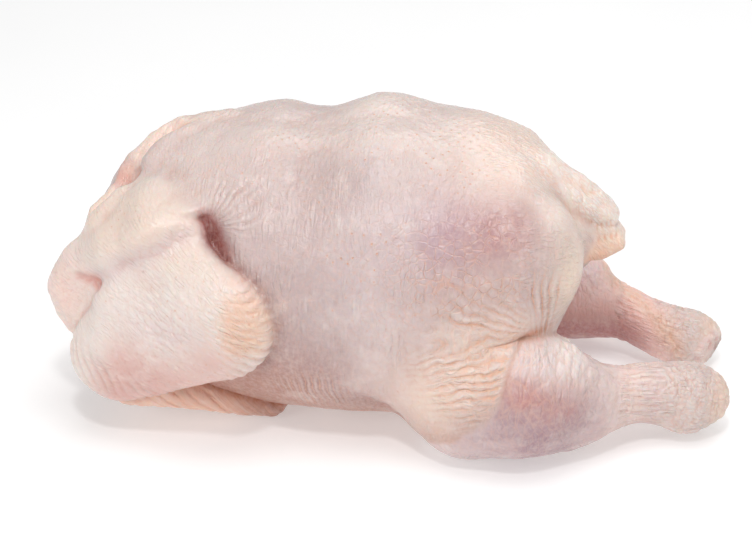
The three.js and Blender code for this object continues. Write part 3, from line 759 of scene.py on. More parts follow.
    # and the elbow's rim is scalloped
    rim_a = np.arctan2(QW[:, 2] - 66, QW[:, 0] + 60)
    rim = m.wing * ease(np.hypot(QW[:, 0] + 60, QW[:, 2] - 66), 17, 23) * ease(QW[:, 0], -56, -46)
    h += rim * 0.32 * np.sin((rim_a * 24 + 1.5 * perlin(V / 9, 86)) * 2 * np.pi / 4.2)
    # lobe in front of the wrist: stretched lines
    lobe = m.ball((-124, 46, 58), (12, 12, 26), QW) * m.wing
    h += lobe * 0.8 * (pillow(flat(np.hypot(QW[:, 0] + 112, QW[:, 2] - 70) / 12, np.arctan2(QW[:, 2] - 70, QW[:, 0] + 112) * 6.5 + 0.2 * perlin(V / 6, 75)), 75, 0.6) - 0.7)
    # upper arm: small wrinkles near its ridge
    top_arm = m.ball((-86, 56, 94), (26, 16, 12), QW) * (m.wing + m.trunk)
    h += top_arm * 0.5 * (pillow(flat((QW[:, 0] + 0.4 * QW[:, 2]) / 6.5, (QW[:, 2] - 0.4 * QW[:, 0]) / 3.4 + 0.5 * perlin(V / 6, 77)), 76, 0.6) - 0.7)
    h += m.hand * 0.25 * perlin(V / 2.6, 85)
    # tail: dimpled rows
    h += m.tail * 0.12 * perlin(V / 3.2, 81)
    for row, first, gap, count in ((86.4, 95.9, 1.85, 4), (80.6, 94.2, 2.5, 5)):
        k = np.clip(np.round((x - first) / gap), 0, count - 1)
        h -= m.tail * 0.9 * bell((x - first - gap * k) / 0.62) * bell((z - row - 0.2 * (x - 98)) / 1.5) * (np.abs(y) > 5)
    # rump: rows of raised follicles
    a = (x + m.around) / 5.6 + 0.3 * perlin(V / 12, 91)
    b = (x - m.around) / 5.6 + 0.3 * perlin(V / 12, 92)
    dot = np.hypot(a - np.round(a), b - np.round(b))
    rump = m.ball((66, 10, 112), (34, 26, 22))
    woven = m.ball((78, 10, 106), (18, 14, 12)) * (m.trunk + m.thigh)
    h += woven * 0.22 * (pillow(flat(m.around / 2.6 + 0.3 * perlin(V / 6, 93), (x - z) / 6.5), 94, 0.6) - 0.7)
    h += (0.12 * bell((z - 128) / 16) + 0.26 * rump) * m.trunk * bell(dot / 0.26)
    # neck: flesh inside the slit
    raw = ease(-m.d_neck, -2.5, 0.5)
    h += raw * (0.9 * perlin(V / 6.5, 95) + 1.3 * (0.5 - np.abs(perlin(V / 4.2, 96)) * 2) * ease(-m.d_neck, -1.5, 0.3) * 0.6)
    # neck skin: soft folds across the far flap
    flapn = m.ball((-92, 8, 112), (26, 9, 14), V)
    h += flapn * 0.7 * (pillow(flat((x * 0.8 - z * 0.5) / 9, (z * 0.8 + x * 0.5 - y) / 3.6), 97, 0.6) - 0.6)
    return h


# =====================================================================================
# 5. Colour
# =====================================================================================
def rgb(r, g, b):
    c = np.array([r, g, b]) / 255
    return np.where(c < 0.04045, c / 12.92, ((c + 0.055) / 1.055) ** 2.4)


# skin tones, by where they are found on the bird, and the colours of painted shade and painted highlight
BACK = rgb(203, 183, 180)
CREST = rgb(240, 225, 217)
RUMP = rgb(241, 221, 209)
FLANK = rgb(199, 178, 177)
LOW_FLANK = rgb(182, 150, 147)
LILAC = rgb(214, 197, 198)
BELLY = rgb(178, 119, 94)
MAUVE = rgb(190, 160, 168)
PLUM = rgb(182, 132, 132)
PAD = rgb(204, 177, 172)
PAINTED_HIGHLIGHT = rgb(254, 239, 230)
PEACH = rgb(247, 222, 205)
KNEE = rgb(232, 208, 195)
DRUM = rgb(229, 210, 208)
MEAT = rgb(197, 143, 140)
DUSK = rgb(174, 140, 148)
PALE = rgb(250, 238, 233)
ANKLE = rgb(240, 216, 209)
KNOB = rgb(227, 212, 207)
FAR_LEG = rgb(255, 214, 206)
FAR_LEG_SHADE = rgb(172, 104, 106)
TAIL = rgb(253, 239, 231)
FAN = rgb(252, 216, 190)
ORANGE = rgb(240, 186, 150)
YELLOW = rgb(252, 226, 186)
SHOULDER = rgb(236, 217, 203)
FOREARM = rgb(239, 227, 220)
SHADE = rgb(219, 199, 202)
LOWER = rgb(222, 177, 168)
WAX = rgb(239, 203, 181)
RIM = rgb(249, 224, 207)
BLUSH = rgb(234, 160, 146)
FLAP = rgb(248, 218, 207)
PIT = rgb(243, 184, 175)
ARMPIT_SHADE = rgb(184, 118, 116)
HAND = rgb(246, 200, 178)
FLESH = rgb(222, 170, 154)
RAW = rgb(200, 120, 108)
FAT = rgb(246, 225, 210)
BLUE = rgb(206, 202, 206)


def colours(m, open_, hollow):
    V = m.V
    x, y, z = V.T
    n = len(V)
    C = np.tile(BACK, (n, 1))

    def lay(w, c):
        w = np.clip(w, 0, 1)[:, None]
        C[:] = C * (1 - w) + np.asarray(c) * w

    cloud = cloudy(V / 24, 101, 3)
    spots = cloudy(V / 9, 103, 2)
    QL, QW = m.QL, m.QW
    # trunk
    lay(bell((z - 130) / 10) * (0.8 + 0.4 * cloud), CREST)
    # darker towards the bottom and below the wing: partly the flank and belly's own tones, partly painted shade
    lay((1 - ease(z, 78, 112)) * 0.9, FLANK)
    lay((1 - ease(z, 38, 72)) * 0.9, LOW_FLANK)
    lay((1 - ease(z, 8, 34)) * 0.95, BELLY)
    lay(ease(x, 24, 56) * ease(z, 104, 118) * 0.95, RUMP)
    lay(m.ball((12, 64, 84), (20, 40, 30)) * (0.8 + 0.5 * cloud), LILAC)
    lay(m.ball((-44, 66, 34), (26, 30, 16)) * 0.8, BELLY)
    lay(m.ball((-40, 66, 52), (18, 30, 20)) * 0.6, LOW_FLANK)
    # painted shadow in the hollow under the web of skin between belly and thigh
    lay(m.ball((4, 62, 25), (11, 10, 6)) * 0.6, rgb(150, 104, 92))
    lay(m.ball((-70, 20, 112), (26, 30, 16)) * 0.5, CREST)
    lay(m.ball((16, 68, 58), (18, 30, 26)) * 0.7, rgb(224, 206, 204))
    past = x - np.interp(z, [8, 21.5, 25.6, 29.9, 33.7, 37.8, 50], [28, 15.9, 10.9, 6.2, 0.6, -4.5, -14])
    lay(ease(past, -0.5, 3) * m.ball((18, 64, 34), (17, 20, 22)) * 0.9, rgb(222, 200, 194))
    # thigh
    lay(m.ball((50, 64, 84), (26, 30, 18), QL) * 0.85, PAD)
    lay(m.ball((38, 56, 101), (16, 26, 14), QL) * (0.9 + 0.4 * cloud), MAUVE)
    lay(m.ball((56, 48, 103), (16, 24, 11), QL) * (0.9 + 0.4 * cloud), PLUM)
    lay(m.ball((3.5, 37, 121), (6, 20, 10)) * 0.5, rgb(188, 174, 178))
    lay(m.ball((-14, 40, 117), (24, 18, 10)) * 0.6, rgb(190, 170, 168))
    # painted highlight: the glossy streak along the top and rear of the thigh
    lay(m.ball((72, 14, 114), (24, 16, 10), QL) * 0.9, PAINTED_HIGHLIGHT)
    lay(m.ball((78, 36, 102), (8, 12, 13), QL) * 0.95, PAINTED_HIGHLIGHT)
    lay(m.ball((90, 18, 94), (8, 14, 16), QL) * 0.9, PAINTED_HIGHLIGHT)
    lay(m.ball((87, 45, 78), (9, 20, 20), QL) * 0.95, rgb(255, 232, 212))
    lay(m.ball((50, 69, 50), (20, 28, 20), QL) * 0.95, KNEE)
    lay(m.ball((32, 75, 34), (15, 26, 16), QL) * 0.8, PEACH)
    # drumstick
    xl = QL[:, 0]
    edge = xl - skin_edge(QL[:, 2])
    beyond = m.shank * ease(edge, -0.5, 1.5)
    lay(beyond, DRUM)
    streak = perlin(flat(xl / 14, m.turn * 5), 107)
    slope = QL[:, 2] + 0.42 * (xl - 77)
    outer = beyond * ease(QL[:, 1], 50, 62)
    # the drumstick's lower outer side: its mauve tone with painted shade
    lay(outer * (1 - ease(slope, 34, 50)) * bell((xl - 78) / 34) * (0.9 + 0.5 * streak), DUSK)
    # painted shade low on the thigh, darker towards the floor
    lay(m.thigh * (1 - ease(z, 14, 34)) * ease(x, 20, 40) * 0.8, rgb(206, 170, 164))
    lay(outer * bell((slope - 40) / 8) * bell((xl - 74) / 17) * (1.0 + 0.7 * streak), MEAT)
    # the drumstick's top: paler skin with a painted highlight
    lay(m.shank * m.ball((84, 50, 50), (24, 20, 6.5), QL), PALE)
    lay(m.shank * bell((xl - 114) / 10) * 0.9, ANKLE)
    # painted shade under the ankle, darker towards the floor
    lay(m.shank * bell((xl - 112) / 14) * (1 - ease(z, 8, 22)) * 0.9, rgb(206, 170, 164))
    lay(m.shank * ease(xl, 122, 132), KNOB)
    lay(m.shank * ease(xl, 144, 153), PEACH)
    face = (1 - m.left) * m.shank * bell((V - np.array(FAR_END)) @ np.array(FAR_FACE) / 1.8)
    far = m.shank * (1 - m.left)
    lay(far * 0.95 * (1 - ease(x, 118, 140)), FAR_LEG)
    # painted shade along the far leg's underside
    lay(far * (1 - ease(z, 14, 34)) * 0.9 * (1 - ease(x, 110, 130)) * (1 - ease(y, 38, 52)), FAR_LEG_SHADE)
    lay(far * m.ball((86, 36, 42), (16, 16, 9), V) * 0.8, rgb(240, 222, 226))
    lay(fat_band(m)[0] * 0.75, WAX)
    lay(face * 0.9, rgb(255, 232, 228))
    lay(face * ease(perlin(flat((y + 0.4 * z) / 2.6, (z - 0.4 * y) / 9), 70), 0.0, -0.4) * 0.6, rgb(226, 160, 156))
    # tail
    lay(m.tail, TAIL)
    # the tail's lower part: its own orange tone, darkened towards the bottom as painted shade
    lay(m.tail * (1 - ease(z, 78, 88)) * 0.7, FAN)
    lay(m.tail * (1 - ease(z, 70, 84)) * (1 - ease(x, 92, 108)) * 0.9, ORANGE)
    lay(m.ball((84, 18, 99), (4, 5, 5)) * 0.3, YELLOW)
    # wing
    lay(m.wing, FOREARM)
    lay(m.wing * bell((QW[:, 2] - 95) / 13), SHOULDER)
    lay(m.ball((-83, 40, 106), (9, 16, 7), QW) * 0.4, rgb(206, 188, 178))
    lay(m.ball((-92, 48, 98), (24, 22, 12), QW) * 0.8, SHOULDER)
    lay(m.wing * bell(line_at(QW, ARM_VALLEY) / 5) * 0.55, SHADE)
    lay(m.wing * m.ball((-78, 76, 60), (22, 20, 7), QW) * 0.4, SHADE)
    # the wing's lower part: its own pinker tone, darker low down as painted shade
    lay(m.wing * (1 - ease(QW[:, 2] + 0.3 * (QW[:, 0] + 80), 34, 60)) * 0.9 * ease(QW[:, 0] - 0.4 * QW[:, 2], -132, -112), LOWER)
    lay(m.wing * m.ball((-56, 72, 50), (12, 20, 9), QW) * 0.9, LOWER)
    er = np.sqrt((((QW - [-43, 79, 67]) / [1, 1.4, 1.25]) ** 2).sum(1)) + 2.5 * perlin(V / 5, 109)
    lay(m.wing * (1 - ease(er, 6, 14)) * ease(QW[:, 0] + 3 * perlin(V / 4, 110), -59, -50) * 0.95, WAX)
    lay(m.wing * ease(QW[:, 0], -41, -36) * bell((QW[:, 2] - 64) / 14) * 0.5, RIM)
    lay(m.wing * m.ball((-45, 70, 83), (7, 7, 4), QW) * 0.25, BLUSH)
    lay(m.wing * m.ball((-42, 70, 77), (4, 6, 6), QW) * 0.1, rgb(244, 160, 138))
    lay(m.wing * m.ball((-62, 62, 40), (22, 14, 7), QW) * 0.5, BLUSH)
    lay(m.wing * m.ball((-127, 46, 58), (12, 16, 26), QW) * 0.9, FLAP)
    lay(m.ball((-112, 53, 69.5), (6, 6, 3), QW) * 0.9, PIT)
    lay(m.hand, HAND)
    # painted shade on the hand: darker at its end by the body and along the wing's edge above it
    lay(m.hand * ease(QW[:, 0], -62, -38) * 0.85, rgb(164, 110, 98))
    lay(m.hand * (1 - ease(m.d_wing, 0.5, 4)) * 0.6, rgb(156, 104, 92))
    # painted shade in the armpit hollow behind the wing's root, darkest beside the wing
    lay(m.ball((-59.8, 49.6, 94.2), (5, 8, 7), QW) * (1 - m.wing) * 0.8, rgb(160, 110, 112))
    arm = chain(QW, ARMPIT, 3)
    lay((1 - ease(m.d_wing, 0.5, 9.5 - 4 * ease(-QW[:, 2], -92, -84))) * (1 - ease(arm, 3, 9)) * (1 - m.wing) ** 3 * 0.93, ARMPIT_SHADE)
    # painted shadow of the wing on the flank beside its edge
    lay((1 - ease(m.d_wing, 0.0, 7.0)) * m.trunk * ease(QW[:, 0], -68, -58) * ease(QW[:, 2], 8, 20) * 0.7, rgb(150, 108, 104))
    # neck
    raw = 1 - ease(m.d_neck, -0.8, 1.6)
    mouth = line_at(V, NECK_LINE) + 1.6 * perlin(V / 4.5, 122)
    lay((1 - ease(mouth, 2.0, 5.0)) * 0.75, FAT)
    lay((1 - ease(mouth, 0.5, 3.0)) * ease(perlin(V / 5, 123), -0.3, 0.3) * 0.6, FLESH)
    lay(m.ball((-92, 9, 111), (24, 10, 13), V) * 0.85, FAT)
    lay(m.ball((-98, 0, 106), (9, 9, 7), V) * 0.7, FAT)
    lay(m.ball((-107, -11, 98), (6, 8, 4.5), V) * 0.9, FLESH)
    lay(raw, FLESH)
    lay(raw * m.ball((-103, -8, 99), (6, 8, 6), V) * 0.5, RAW)
    lay(raw * m.ball((-112, -27, 93), (9, 12, 6), V) * 0.8, RAW)
    lay(raw * m.ball((-96, -1, 110), (7, 5, 5), V) * 0.9, RAW)
    lay(raw * ease(perlin(V / 3.6, 121), 0.15, 0.45) * 0.75, FAT)
    # crevices and hollows are painted darker and pinker: partly the skin's own colour in its folds, partly painted
    # shade where the skin is closed in
    pink = C * np.array([0.86, 0.60, 0.55])
    warm = np.clip(1.2 * m.ball((58, 64, 58), (30, 30, 26), QL) + m.tail + fat_band(m)[0] + m.hand + 0.7 * m.ball((-45, 79, 66), (16, 20, 18), QW), 0, 1)[:, None]
    pink = pink * (1 - warm) + warm * C * np.array([0.93, 0.66, 0.46])
    lay(m.ball((66, 60, 66), (10, 12, 7), QL) * 0.6, rgb(246, 220, 204))
    # the crease behind the knee: its own orange-red tone, darkened as painted shade
    C += (C * np.array([1.0, 0.52, 0.36]) - C) * np.clip(1.1 * m.ball((73, 57, 60.0), (7, 12, 1.8), QL), 0, 0.9)[:, None]
    C += (C * np.array([0.98, 0.74, 0.6]) - C) * (bell((edge - 0.3) / 0.9) * ease(QL[:, 1], 50, 58) * ease(QL[:, 2], 36, 48) * (1 - ease(QL[:, 2], 58, 61)) * (m.shank + m.thigh) * 0.7)[:, None]
    C += (pink - C) * np.clip(0.55 * hollow + 0.75 * (1 - open_), 0, 1)[:, None]
    C *= 1 + 0.025 * spots[:, None] * np.array([0.6, 1.0, 1.1])
    return np.clip(C, 0, 1)


# =====================================================================================
# 6. Build the mesh
# =====================================================================================
BOX_LO, BOX_HI = (-142, -90, -6), (166, 90, 138)
V, QUADS = skin_mesh(bird, BOX_LO, BOX_HI, VOXEL)
print("mesh", len(V), len(QUADS), "%.1fs" % (time.time() - T0), flush=True)
net = Net(len(V), QUADS)
V = net.smooth(V, 2, 0.4)
N = net.smooth(vertex_normals(V, QUADS), 6, 0.6)
N /= np.maximum(np.linalg.norm(N, axis=1, keepdims=True), 1e-9)


def openness(V, N, reach):
    out = np.empty(len(V))
    for a in range(0, len(V), 300000):
        out[a : a + 300000] = bird(V[a : a + 300000] + N[a : a + 300000] * reach)
    return np.clip(out / reach, 0, 1)


m = Map(V)
free = openness(V, N, 4.0)
h = relief(m, N) * ease(free, 0.25, 0.8)
table_top = ease(V[:, 2], 0.3, 3.0)
print("relief", "%.1fs" % (time.time() - T0), flush=True)
V = V + N * (h * table_top)[:, None]
V[:, 2] = np.maximum(V[:, 2], 0)


def to_blender(V):
    return ((V - SHIFT) / 1000).astype(np.float32)


mesh = bpy.data.meshes.new("chicken_raw")
mesh.vertices.add(len(V))
mesh.vertices.foreach_set("co", to_blender(V).ravel())
mesh.loops.add(len(QUADS) * 4)
mesh.loops.foreach_set("vertex_index", QUADS.astype(np.int32).ravel())
mesh.polygons.add(len(QUADS))
mesh.polygons.foreach_set("loop_start", np.arange(0, len(QUADS) * 4, 4, dtype=np.int32))
mesh.update(calc_edges=True)
mesh.validate()
skin = bpy.data.objects.new("chicken_skin", mesh)
bpy.context.scene.collection.objects.link(skin)
triangles = 2 * len(QUADS)
if triangles > MOST_TRIANGLES:
    thin = skin.modifiers.new("thin", "DECIMATE")
    thin.ratio = MOST_TRIANGLES / triangles
    thin.use_collapse_triangulate = True
    bpy.context.view_layer.update()
    done = bpy.data.meshes.new_from_object(skin.evaluated_get(bpy.context.evaluated_depsgraph_get()))
    skin.modifiers.clear()
    skin.data = done
    bpy.data.meshes.remove(mesh)
    mesh = done
mesh.name = "chicken_skin"
mesh.shade_smooth()
print("thinned", len(mesh.vertices), len(mesh.polygons), "%.1fs" % (time.time() - T0), flush=True)

# attributes on the final vertices
co = np.empty(len(mesh.vertices) * 3, np.float32)
mesh.vertices.foreach_get("co", co)
no = np.empty(len(mesh.vertices) * 3, np.float32)
mesh.vertices.foreach_get("normal", no)
V = co.reshape(-1, 3).astype(float) * 1000 + SHIFT
N = no.reshape(-1, 3).astype(float)
ed = np.empty(len(mesh.edges) * 2, np.int32)
mesh.edges.foreach_get("vertices", ed)
ed = ed.reshape(-1, 2)


class EdgeNet(Net):
    def __init__(s, n, E):
        s.a, s.b, s.n = np.concatenate([E[:, 0], E[:, 1]]), np.concatenate([E[:, 1], E[:, 0]]), n
        s.deg = np.maximum(np.bincount(s.a, minlength=n), 1)


enet = EdgeNet(len(V), ed)
wide = enet.smooth(V, 8, 0.6)
bulge = ((V - wide) * N).sum(1)  # mm above the smoothed skin: ridges positive, valleys negative
hollow = np.clip(-bulge / 0.35, 0, 1)
m = Map(V)
free = openness(V, N, 5.0)
tint = colours(m, ease(free, 0.0, 0.75), hollow)
ridge = np.clip(bulge / 0.35, 0, 1)


def put(name, kind, values):
    a = mesh.attributes.new(name, kind, "POINT")
    a.data.foreach_set("vector" if kind == "FLOAT_VECTOR" else "color", values.astype(np.float32).ravel())


put("tint", "FLOAT_COLOR", np.concatenate([tint, np.ones((len(V), 1))], 1))
# how strongly the follicles show; the masks attribute also holds the polygon lines, the orange valleys and how strong
# the fine relief is
dots = np.clip(
    m.trunk * (0.95 * bell((m.V[:, 2] - 126) / 22) + 0.8 * m.ball((12, 66, 88), (34, 34, 28)) + 0.35 * m.ball((-30, 64, 90), (40, 40, 30))) + 0.5 * m.thigh + 0.5 * m.wing + 0.4 * m.tail + 0.3 * m.shank, 0, 1
)
poly = np.clip(m.ball((44, 62, 84), (24, 34, 16), m.QL) + 0.3 * (m.trunk + m.thigh) + 0.2 * m.wing + 0.7 * m.shank * ease(m.QL[:, 0], 122, 130), 0, 1)
# where the fine wrinkles have orange valleys
rusty = np.clip(0.9 * m.ball((66, 12, 108), (34, 26, 22)) + m.tail + 0.9 * m.ball((54, 66, 54), (28, 34, 26), m.QL) + 0.8 * m.ball((-45, 79, 66), (16, 20, 18), m.QW) + 0.5 * m.hand + 0.25 * m.shank, 0, 1)


def gain(m):
    """how strong the fine relief is, region by region (0.5 is the usual strength)"""
    Q, QL, QW = m.Q, m.QL, m.QW
    g = np.full(len(m.V), 0.5)
    for w, to in (
        (m.ball((-5, 70, 70), (34, 34, 24)), 0.95), (m.ball((16, 66, 90), (16, 34, 18)), 0.95), (m.ball((0, 66, 28), (34, 30, 14)), 0.8),
        (m.ball((40, 58, 100), (26, 30, 12), QL), 0.33), (m.ball((66, 12, 112), (22, 24, 16)), 0.36), (m.ball((50, 68, 52), (20, 34, 24), QL), 0.8),
        (m.shank, 0.95), (m.ball((80, 46, 76), (10, 22, 18), QL), 0.8), (m.tail, 0.7), (m.ball((-100, 40, 98), (26, 30, 20)), 0.3),
        (m.wing * m.ball((-80, 74, 66), (24, 20, 16), QW), 0.36), (m.wing * m.ball((-45, 76, 62), (10, 20, 20), QW), 1.0),
    ):
        w = np.clip(w, 0, 1)
        g = g * (1 - w) + to * w
    return g


put("masks", "FLOAT_COLOR", np.stack([dots, poly, rusty, gain(m)], 1))
warp = np.stack([perlin(V / 16, 141), perlin(V / 16, 142)], 1) * 1.6
tract = np.stack([V[:, 0] + warp[:, 0], m.around + warp[:, 1], np.zeros(len(V))], 1)
put("tract", "FLOAT_VECTOR", tract)


def flow(m):
    """fine wrinkles: the first number runs across them, the second along them, the third is their strength"""
    V, QL, QW = m.V, m.QL, m.QW
    x, y, z = V.T
    bend = 1.6 * perlin(V / 11, 151)
    body = np.stack([(x + bend) / 2.1, m.around / 9.5], 1)
    rear = ease(x + 0.5 * (z - 100), 52, 62)
    back = np.stack([(m.around + bend) / 1.9, (x - z) / 6.5], 1)
    stripes(m)
    knee = np.stack([(m.knee_c + 0.4 * bend) / 1.8, (QL[:, 0] + bend) / 5.5], 1)
    leg = np.stack([(QL[:, 0] + bend) / 2.6, m.turn * 5.5], 1)
    ankle = np.stack([m.turn * 9 + 0.3 * bend, QL[:, 0] / 7], 1)
    sl = QW[:, 0] * 0.45 + QW[:, 2] * 0.9 + bend
    wing = np.stack([sl / 1.7, (QW[:, 0] * 0.9 - QW[:, 2] * 0.45) / 5.5], 1)
    hand = np.stack([(QW[:, 0] + 0.9 * QW[:, 2] + bend) / 2.3, V[:, 1] / 7], 1)
    tail = np.stack([(V[:, 0] + V[:, 2] + V[:, 1]) / 2.0, (V[:, 0] - V[:, 2]) / 6], 1)
    kn = np.clip(1.6 * m.ball((50, 66, 50), (24, 34, 24), QL), 0, 1) * (x > 10) * (QL[:, 0] < skin_edge(QL[:, 2])) * (QL[:, 1] > 46)
    sk = m.shank * (1 - kn)
    an = ease(QL[:, 0], 104, 112) * m.shank
    flank = 0.4 + 0.6 * m.ball((-48, 60, 88), (38, 44, 36)) + 0.3 * m.ball((20, 70, 60), (40, 40, 30))
    w = np.stack([(m.trunk + m.thigh) * (1 - rear) * (1 - kn), (m.trunk + m.thigh) * rear * (1 - kn), kn, sk * (1 - an), an, m.wing, m.hand, m.tail], 1)
    maps = np.stack([body, back, knee, leg, ankle, wing, hand, tail], 1)
    best = w.argmax(1)
    order = np.sort(w, 1)
    sure = ease(order[:, -1] - order[:, -2], 0.05, 0.5)
    at = maps[np.arange(len(V)), best] + best[:, None] * 40.0
    edge_of = best[ed[:, 0]] != best[ed[:, 1]]
    rim = np.zeros(len(V), bool)
    rim[ed[edge_of].ravel()] = True
    power = np.array([1.0, 1.1, 0.9, 0.7, 1.0, 1.0, 1.0, 0.8])[best] * np.where(best == 0, np.clip(flank, 0, 1), 1) * (1 - 0.65 * m.ball((52, 48, 102), (22, 26, 13), QL))
    power = enet.smooth(np.where(rim, 0, sure * power), 3, 0.5)
    return np.stack([at[:, 0], at[:, 1], np.where(rim, 0, power)], 1)


put("flow", "FLOAT_VECTOR", flow(m))


def crease(m):
    """the strongest family of creases at each vertex: its number, its strength, how orange it is"""
    fam = stripes(m)
    w = np.stack([f[1] for f in fam], 1)
    area = np.stack([enet.smooth(f[1], 6, 0.6) for f in fam], 1)
    best = area.argmax(1)
    row = np.arange(len(m.V))
    t = np.stack([f[0] for f in fam], 1)[row, best] + 30.0 * best
    warm = np.array([f[3] for f in fam])[best]
    deep = np.clip(np.array([f[2] for f in fam])[best], 0.4, 1.1)
    edge_of = best[ed[:, 0]] != best[ed[:, 1]]
    rim = np.zeros(len(m.V), bool)
    rim[ed[edge_of].ravel()] = True
    power = enet.smooth(np.where(rim, 0, w[row, best]), 2, 0.5)
    return np.stack([t, np.where(rim, 0, power * deep), warm], 1)


put("crease", "FLOAT_VECTOR", crease(m))
print("painted", "%.1fs" % (time.time() - T0), flush=True)

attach(skin, "root")
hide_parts("chicken")


# =====================================================================================
# 7. Skin material
# =====================================================================================
class Tree:
    def __init__(s, material):
        material.use_nodes = True
        s.nt = material.node_tree
        s.nt.nodes.clear()

    def new(s, kind, **values):
        node = s.nt.nodes.new(kind)
        for k, v in values.items():
            setattr(node, k, v)
        return node

    def put(s, socket, value):
        if hasattr(value, "is_output"):
            s.nt.links.new(value, socket)
        else:
            socket.default_value = value

    def math(s, op, a, b=None, c=None, clamp=False):
        n = s.new("ShaderNodeMath", operation=op, use_clamp=clamp)
        s.put(n.inputs[0], a)
        if b is not None:
            s.put(n.inputs[1], b)
        if c is not None:
            s.put(n.inputs[2], c)
        return n.outputs[0]

    def vec(s, op, a, b=None, scale=None):
        n = s.new("ShaderNodeVectorMath", operation=op)
        s.put(n.inputs[0], a)
        if b is not None:
            s.put(n.inputs[1], b)
        if scale is not None:
            s.put(n.inputs["Scale"], scale)
        return n.outputs[1] if op in ("LENGTH", "DISTANCE", "DOT_PRODUCT") else n.outputs[0]

    def mix(s, f, a, b, mode="MIX"):
        n = s.new("ShaderNodeMix", data_type="RGBA", blend_type=mode)
        s.put(n.inputs[0], f)
        s.put(n.inputs[6], a)
        s.put(n.inputs[7], b)
        return n.outputs[2]

    def noise(s, vector, scale, detail=2.0, rough=0.5, distort=0.0):
        n = s.new("ShaderNodeTexNoise")
        s.put(n.inputs["Vector"], vector)
        n.inputs["Scale"].default_value = scale
        n.inputs["Detail"].default_value = detail
        n.inputs["Roughness"].default_value = rough
        n.inputs["Distortion"].default_value = distort
        return n.outputs["Fac"]

    def voronoi(s, vector, scale, feature="F1", out="Distance", rand=1.0):
        n = s.new("ShaderNodeTexVoronoi", feature=feature)
        s.put(n.inputs["Vector"], vector)
        n.inputs["Scale"].default_value = scale
        n.inputs["Randomness"].default_value = rand
        return n.outputs[out]

    def span(s, v, a, b, c=0.0, d=1.0, smooth=True):
        n = s.new("ShaderNodeMapRange", interpolation_type="SMOOTHSTEP" if smooth else "LINEAR", clamp=True)
        s.put(n.inputs["Value"], v)
        for i, t in enumerate((a, b, c, d)):
            n.inputs[i + 1].default_value = t
        return n.outputs["Result"]


mat = bpy.data.materials.new("chicken_skin")
T = Tree(mat)
obj = T.new("ShaderNodeTexCoord").outputs["Object"]
mm = T.vec("SCALE", obj, scale=1000.0)
tint_in = T.new("ShaderNodeAttribute", attribute_name="tint").outputs["Color"]
masks_node = T.new("ShaderNodeAttribute", attribute_name="masks")
masks_in = masks_node.outputs["Color"]
gain_in = T.math("MULTIPLY", masks_node.outputs["Alpha"], 2.0)
sep = T.new("ShaderNodeSeparateColor")
T.put(sep.inputs[0], masks_in)
dots_in, poly_in, rusty_in = sep.outputs
tract_in = T.new("ShaderNodeAttribute", attribute_name="tract").outputs["Vector"]
txyz = T.new("ShaderNodeSeparateXYZ")
T.put(txyz.inputs[0], tract_in)
tu, tv = txyz.outputs[0], txyz.outputs[1]

# follicles stand in a diamond lattice, a little out of line
STEP = 5.6
a = T.math("DIVIDE", T.math("ADD", tu, tv), STEP)
b = T.math("DIVIDE", T.math("SUBTRACT", tu, tv), STEP)
ra, rb = T.math("ROUND", a), T.math("ROUND", b)
cell = T.new("ShaderNodeCombineXYZ")
T.put(cell.inputs[0], ra)
T.put(cell.inputs[1], rb)
white = T.new("ShaderNodeTexWhiteNoise", noise_dimensions="3D")
T.put(white.inputs["Vector"], cell.outputs[0])
wsep = T.new("ShaderNodeSeparateColor")
T.put(wsep.inputs[0], white.outputs["Color"])
ja = T.math("MULTIPLY_ADD", wsep.outputs[0], 0.3, -0.15)
jb = T.math("MULTIPLY_ADD", wsep.outputs[1], 0.3, -0.15)
da = T.math("SUBTRACT", T.math("SUBTRACT", a, ra), ja)
db = T.math("SUBTRACT", T.math("SUBTRACT", b, rb), jb)
dist = T.math("SQRT", T.math("ADD", T.math("MULTIPLY", da, da), T.math("MULTIPLY", db, db)))
seen = T.span(wsep.outputs[2], 0.25, 0.9)
patch = T.span(T.noise(mm, 0.045, 2.0), 0.38, 0.62)
dot = T.math("MULTIPLY", T.span(dist, 0.13, 0.05), T.math("MULTIPLY", T.math("MULTIPLY", seen, dots_in), patch))
halo = T.math("MULTIPLY", T.span(dist, 0.34, 0.08), T.math("MULTIPLY", dots_in, patch))

fine = T.noise(mm, 0.55, 4.0, 0.6)
mottle = T.noise(mm, 0.09, 4.0, 0.6)
col = T.mix(T.span(fine, 0.35, 0.65, 0.0, 0.22), tint_in, (0.80, 0.61, 0.57, 1.0))
col = T.mix(T.span(mottle, 0.5, 0.75, 0.0, 0.3), col, (0.92, 0.81, 0.76, 1.0))
col = T.mix(T.math("MULTIPLY", halo, 0.16), col, (0.85, 0.55, 0.40, 1.0))
col = T.mix(T.math("MULTIPLY", dot, 0.75), col, (0.72, 0.33, 0.18, 1.0))

wob = T.new("ShaderNodeTexNoise")
T.put(wob.inputs["Vector"], mm)
wob.inputs["Scale"].default_value = 0.10
wob.inputs["Detail"].default_value = 2
pads = T.voronoi(T.vec("ADD", T.vec("SCALE", mm, scale=0.27), T.vec("SCALE", wob.outputs["Color"], scale=0.9)), 1.0, "DISTANCE_TO_EDGE")
line = T.math("MULTIPLY", T.span(pads, 0.12, 0.0), poly_in)
line = T.math("MULTIPLY", line, T.span(T.noise(mm, 0.12, 2.0), 0.28, 0.52))
col = T.mix(T.math("MULTIPLY", line, 0.4), col, (0.78, 0.44, 0.32, 1.0))
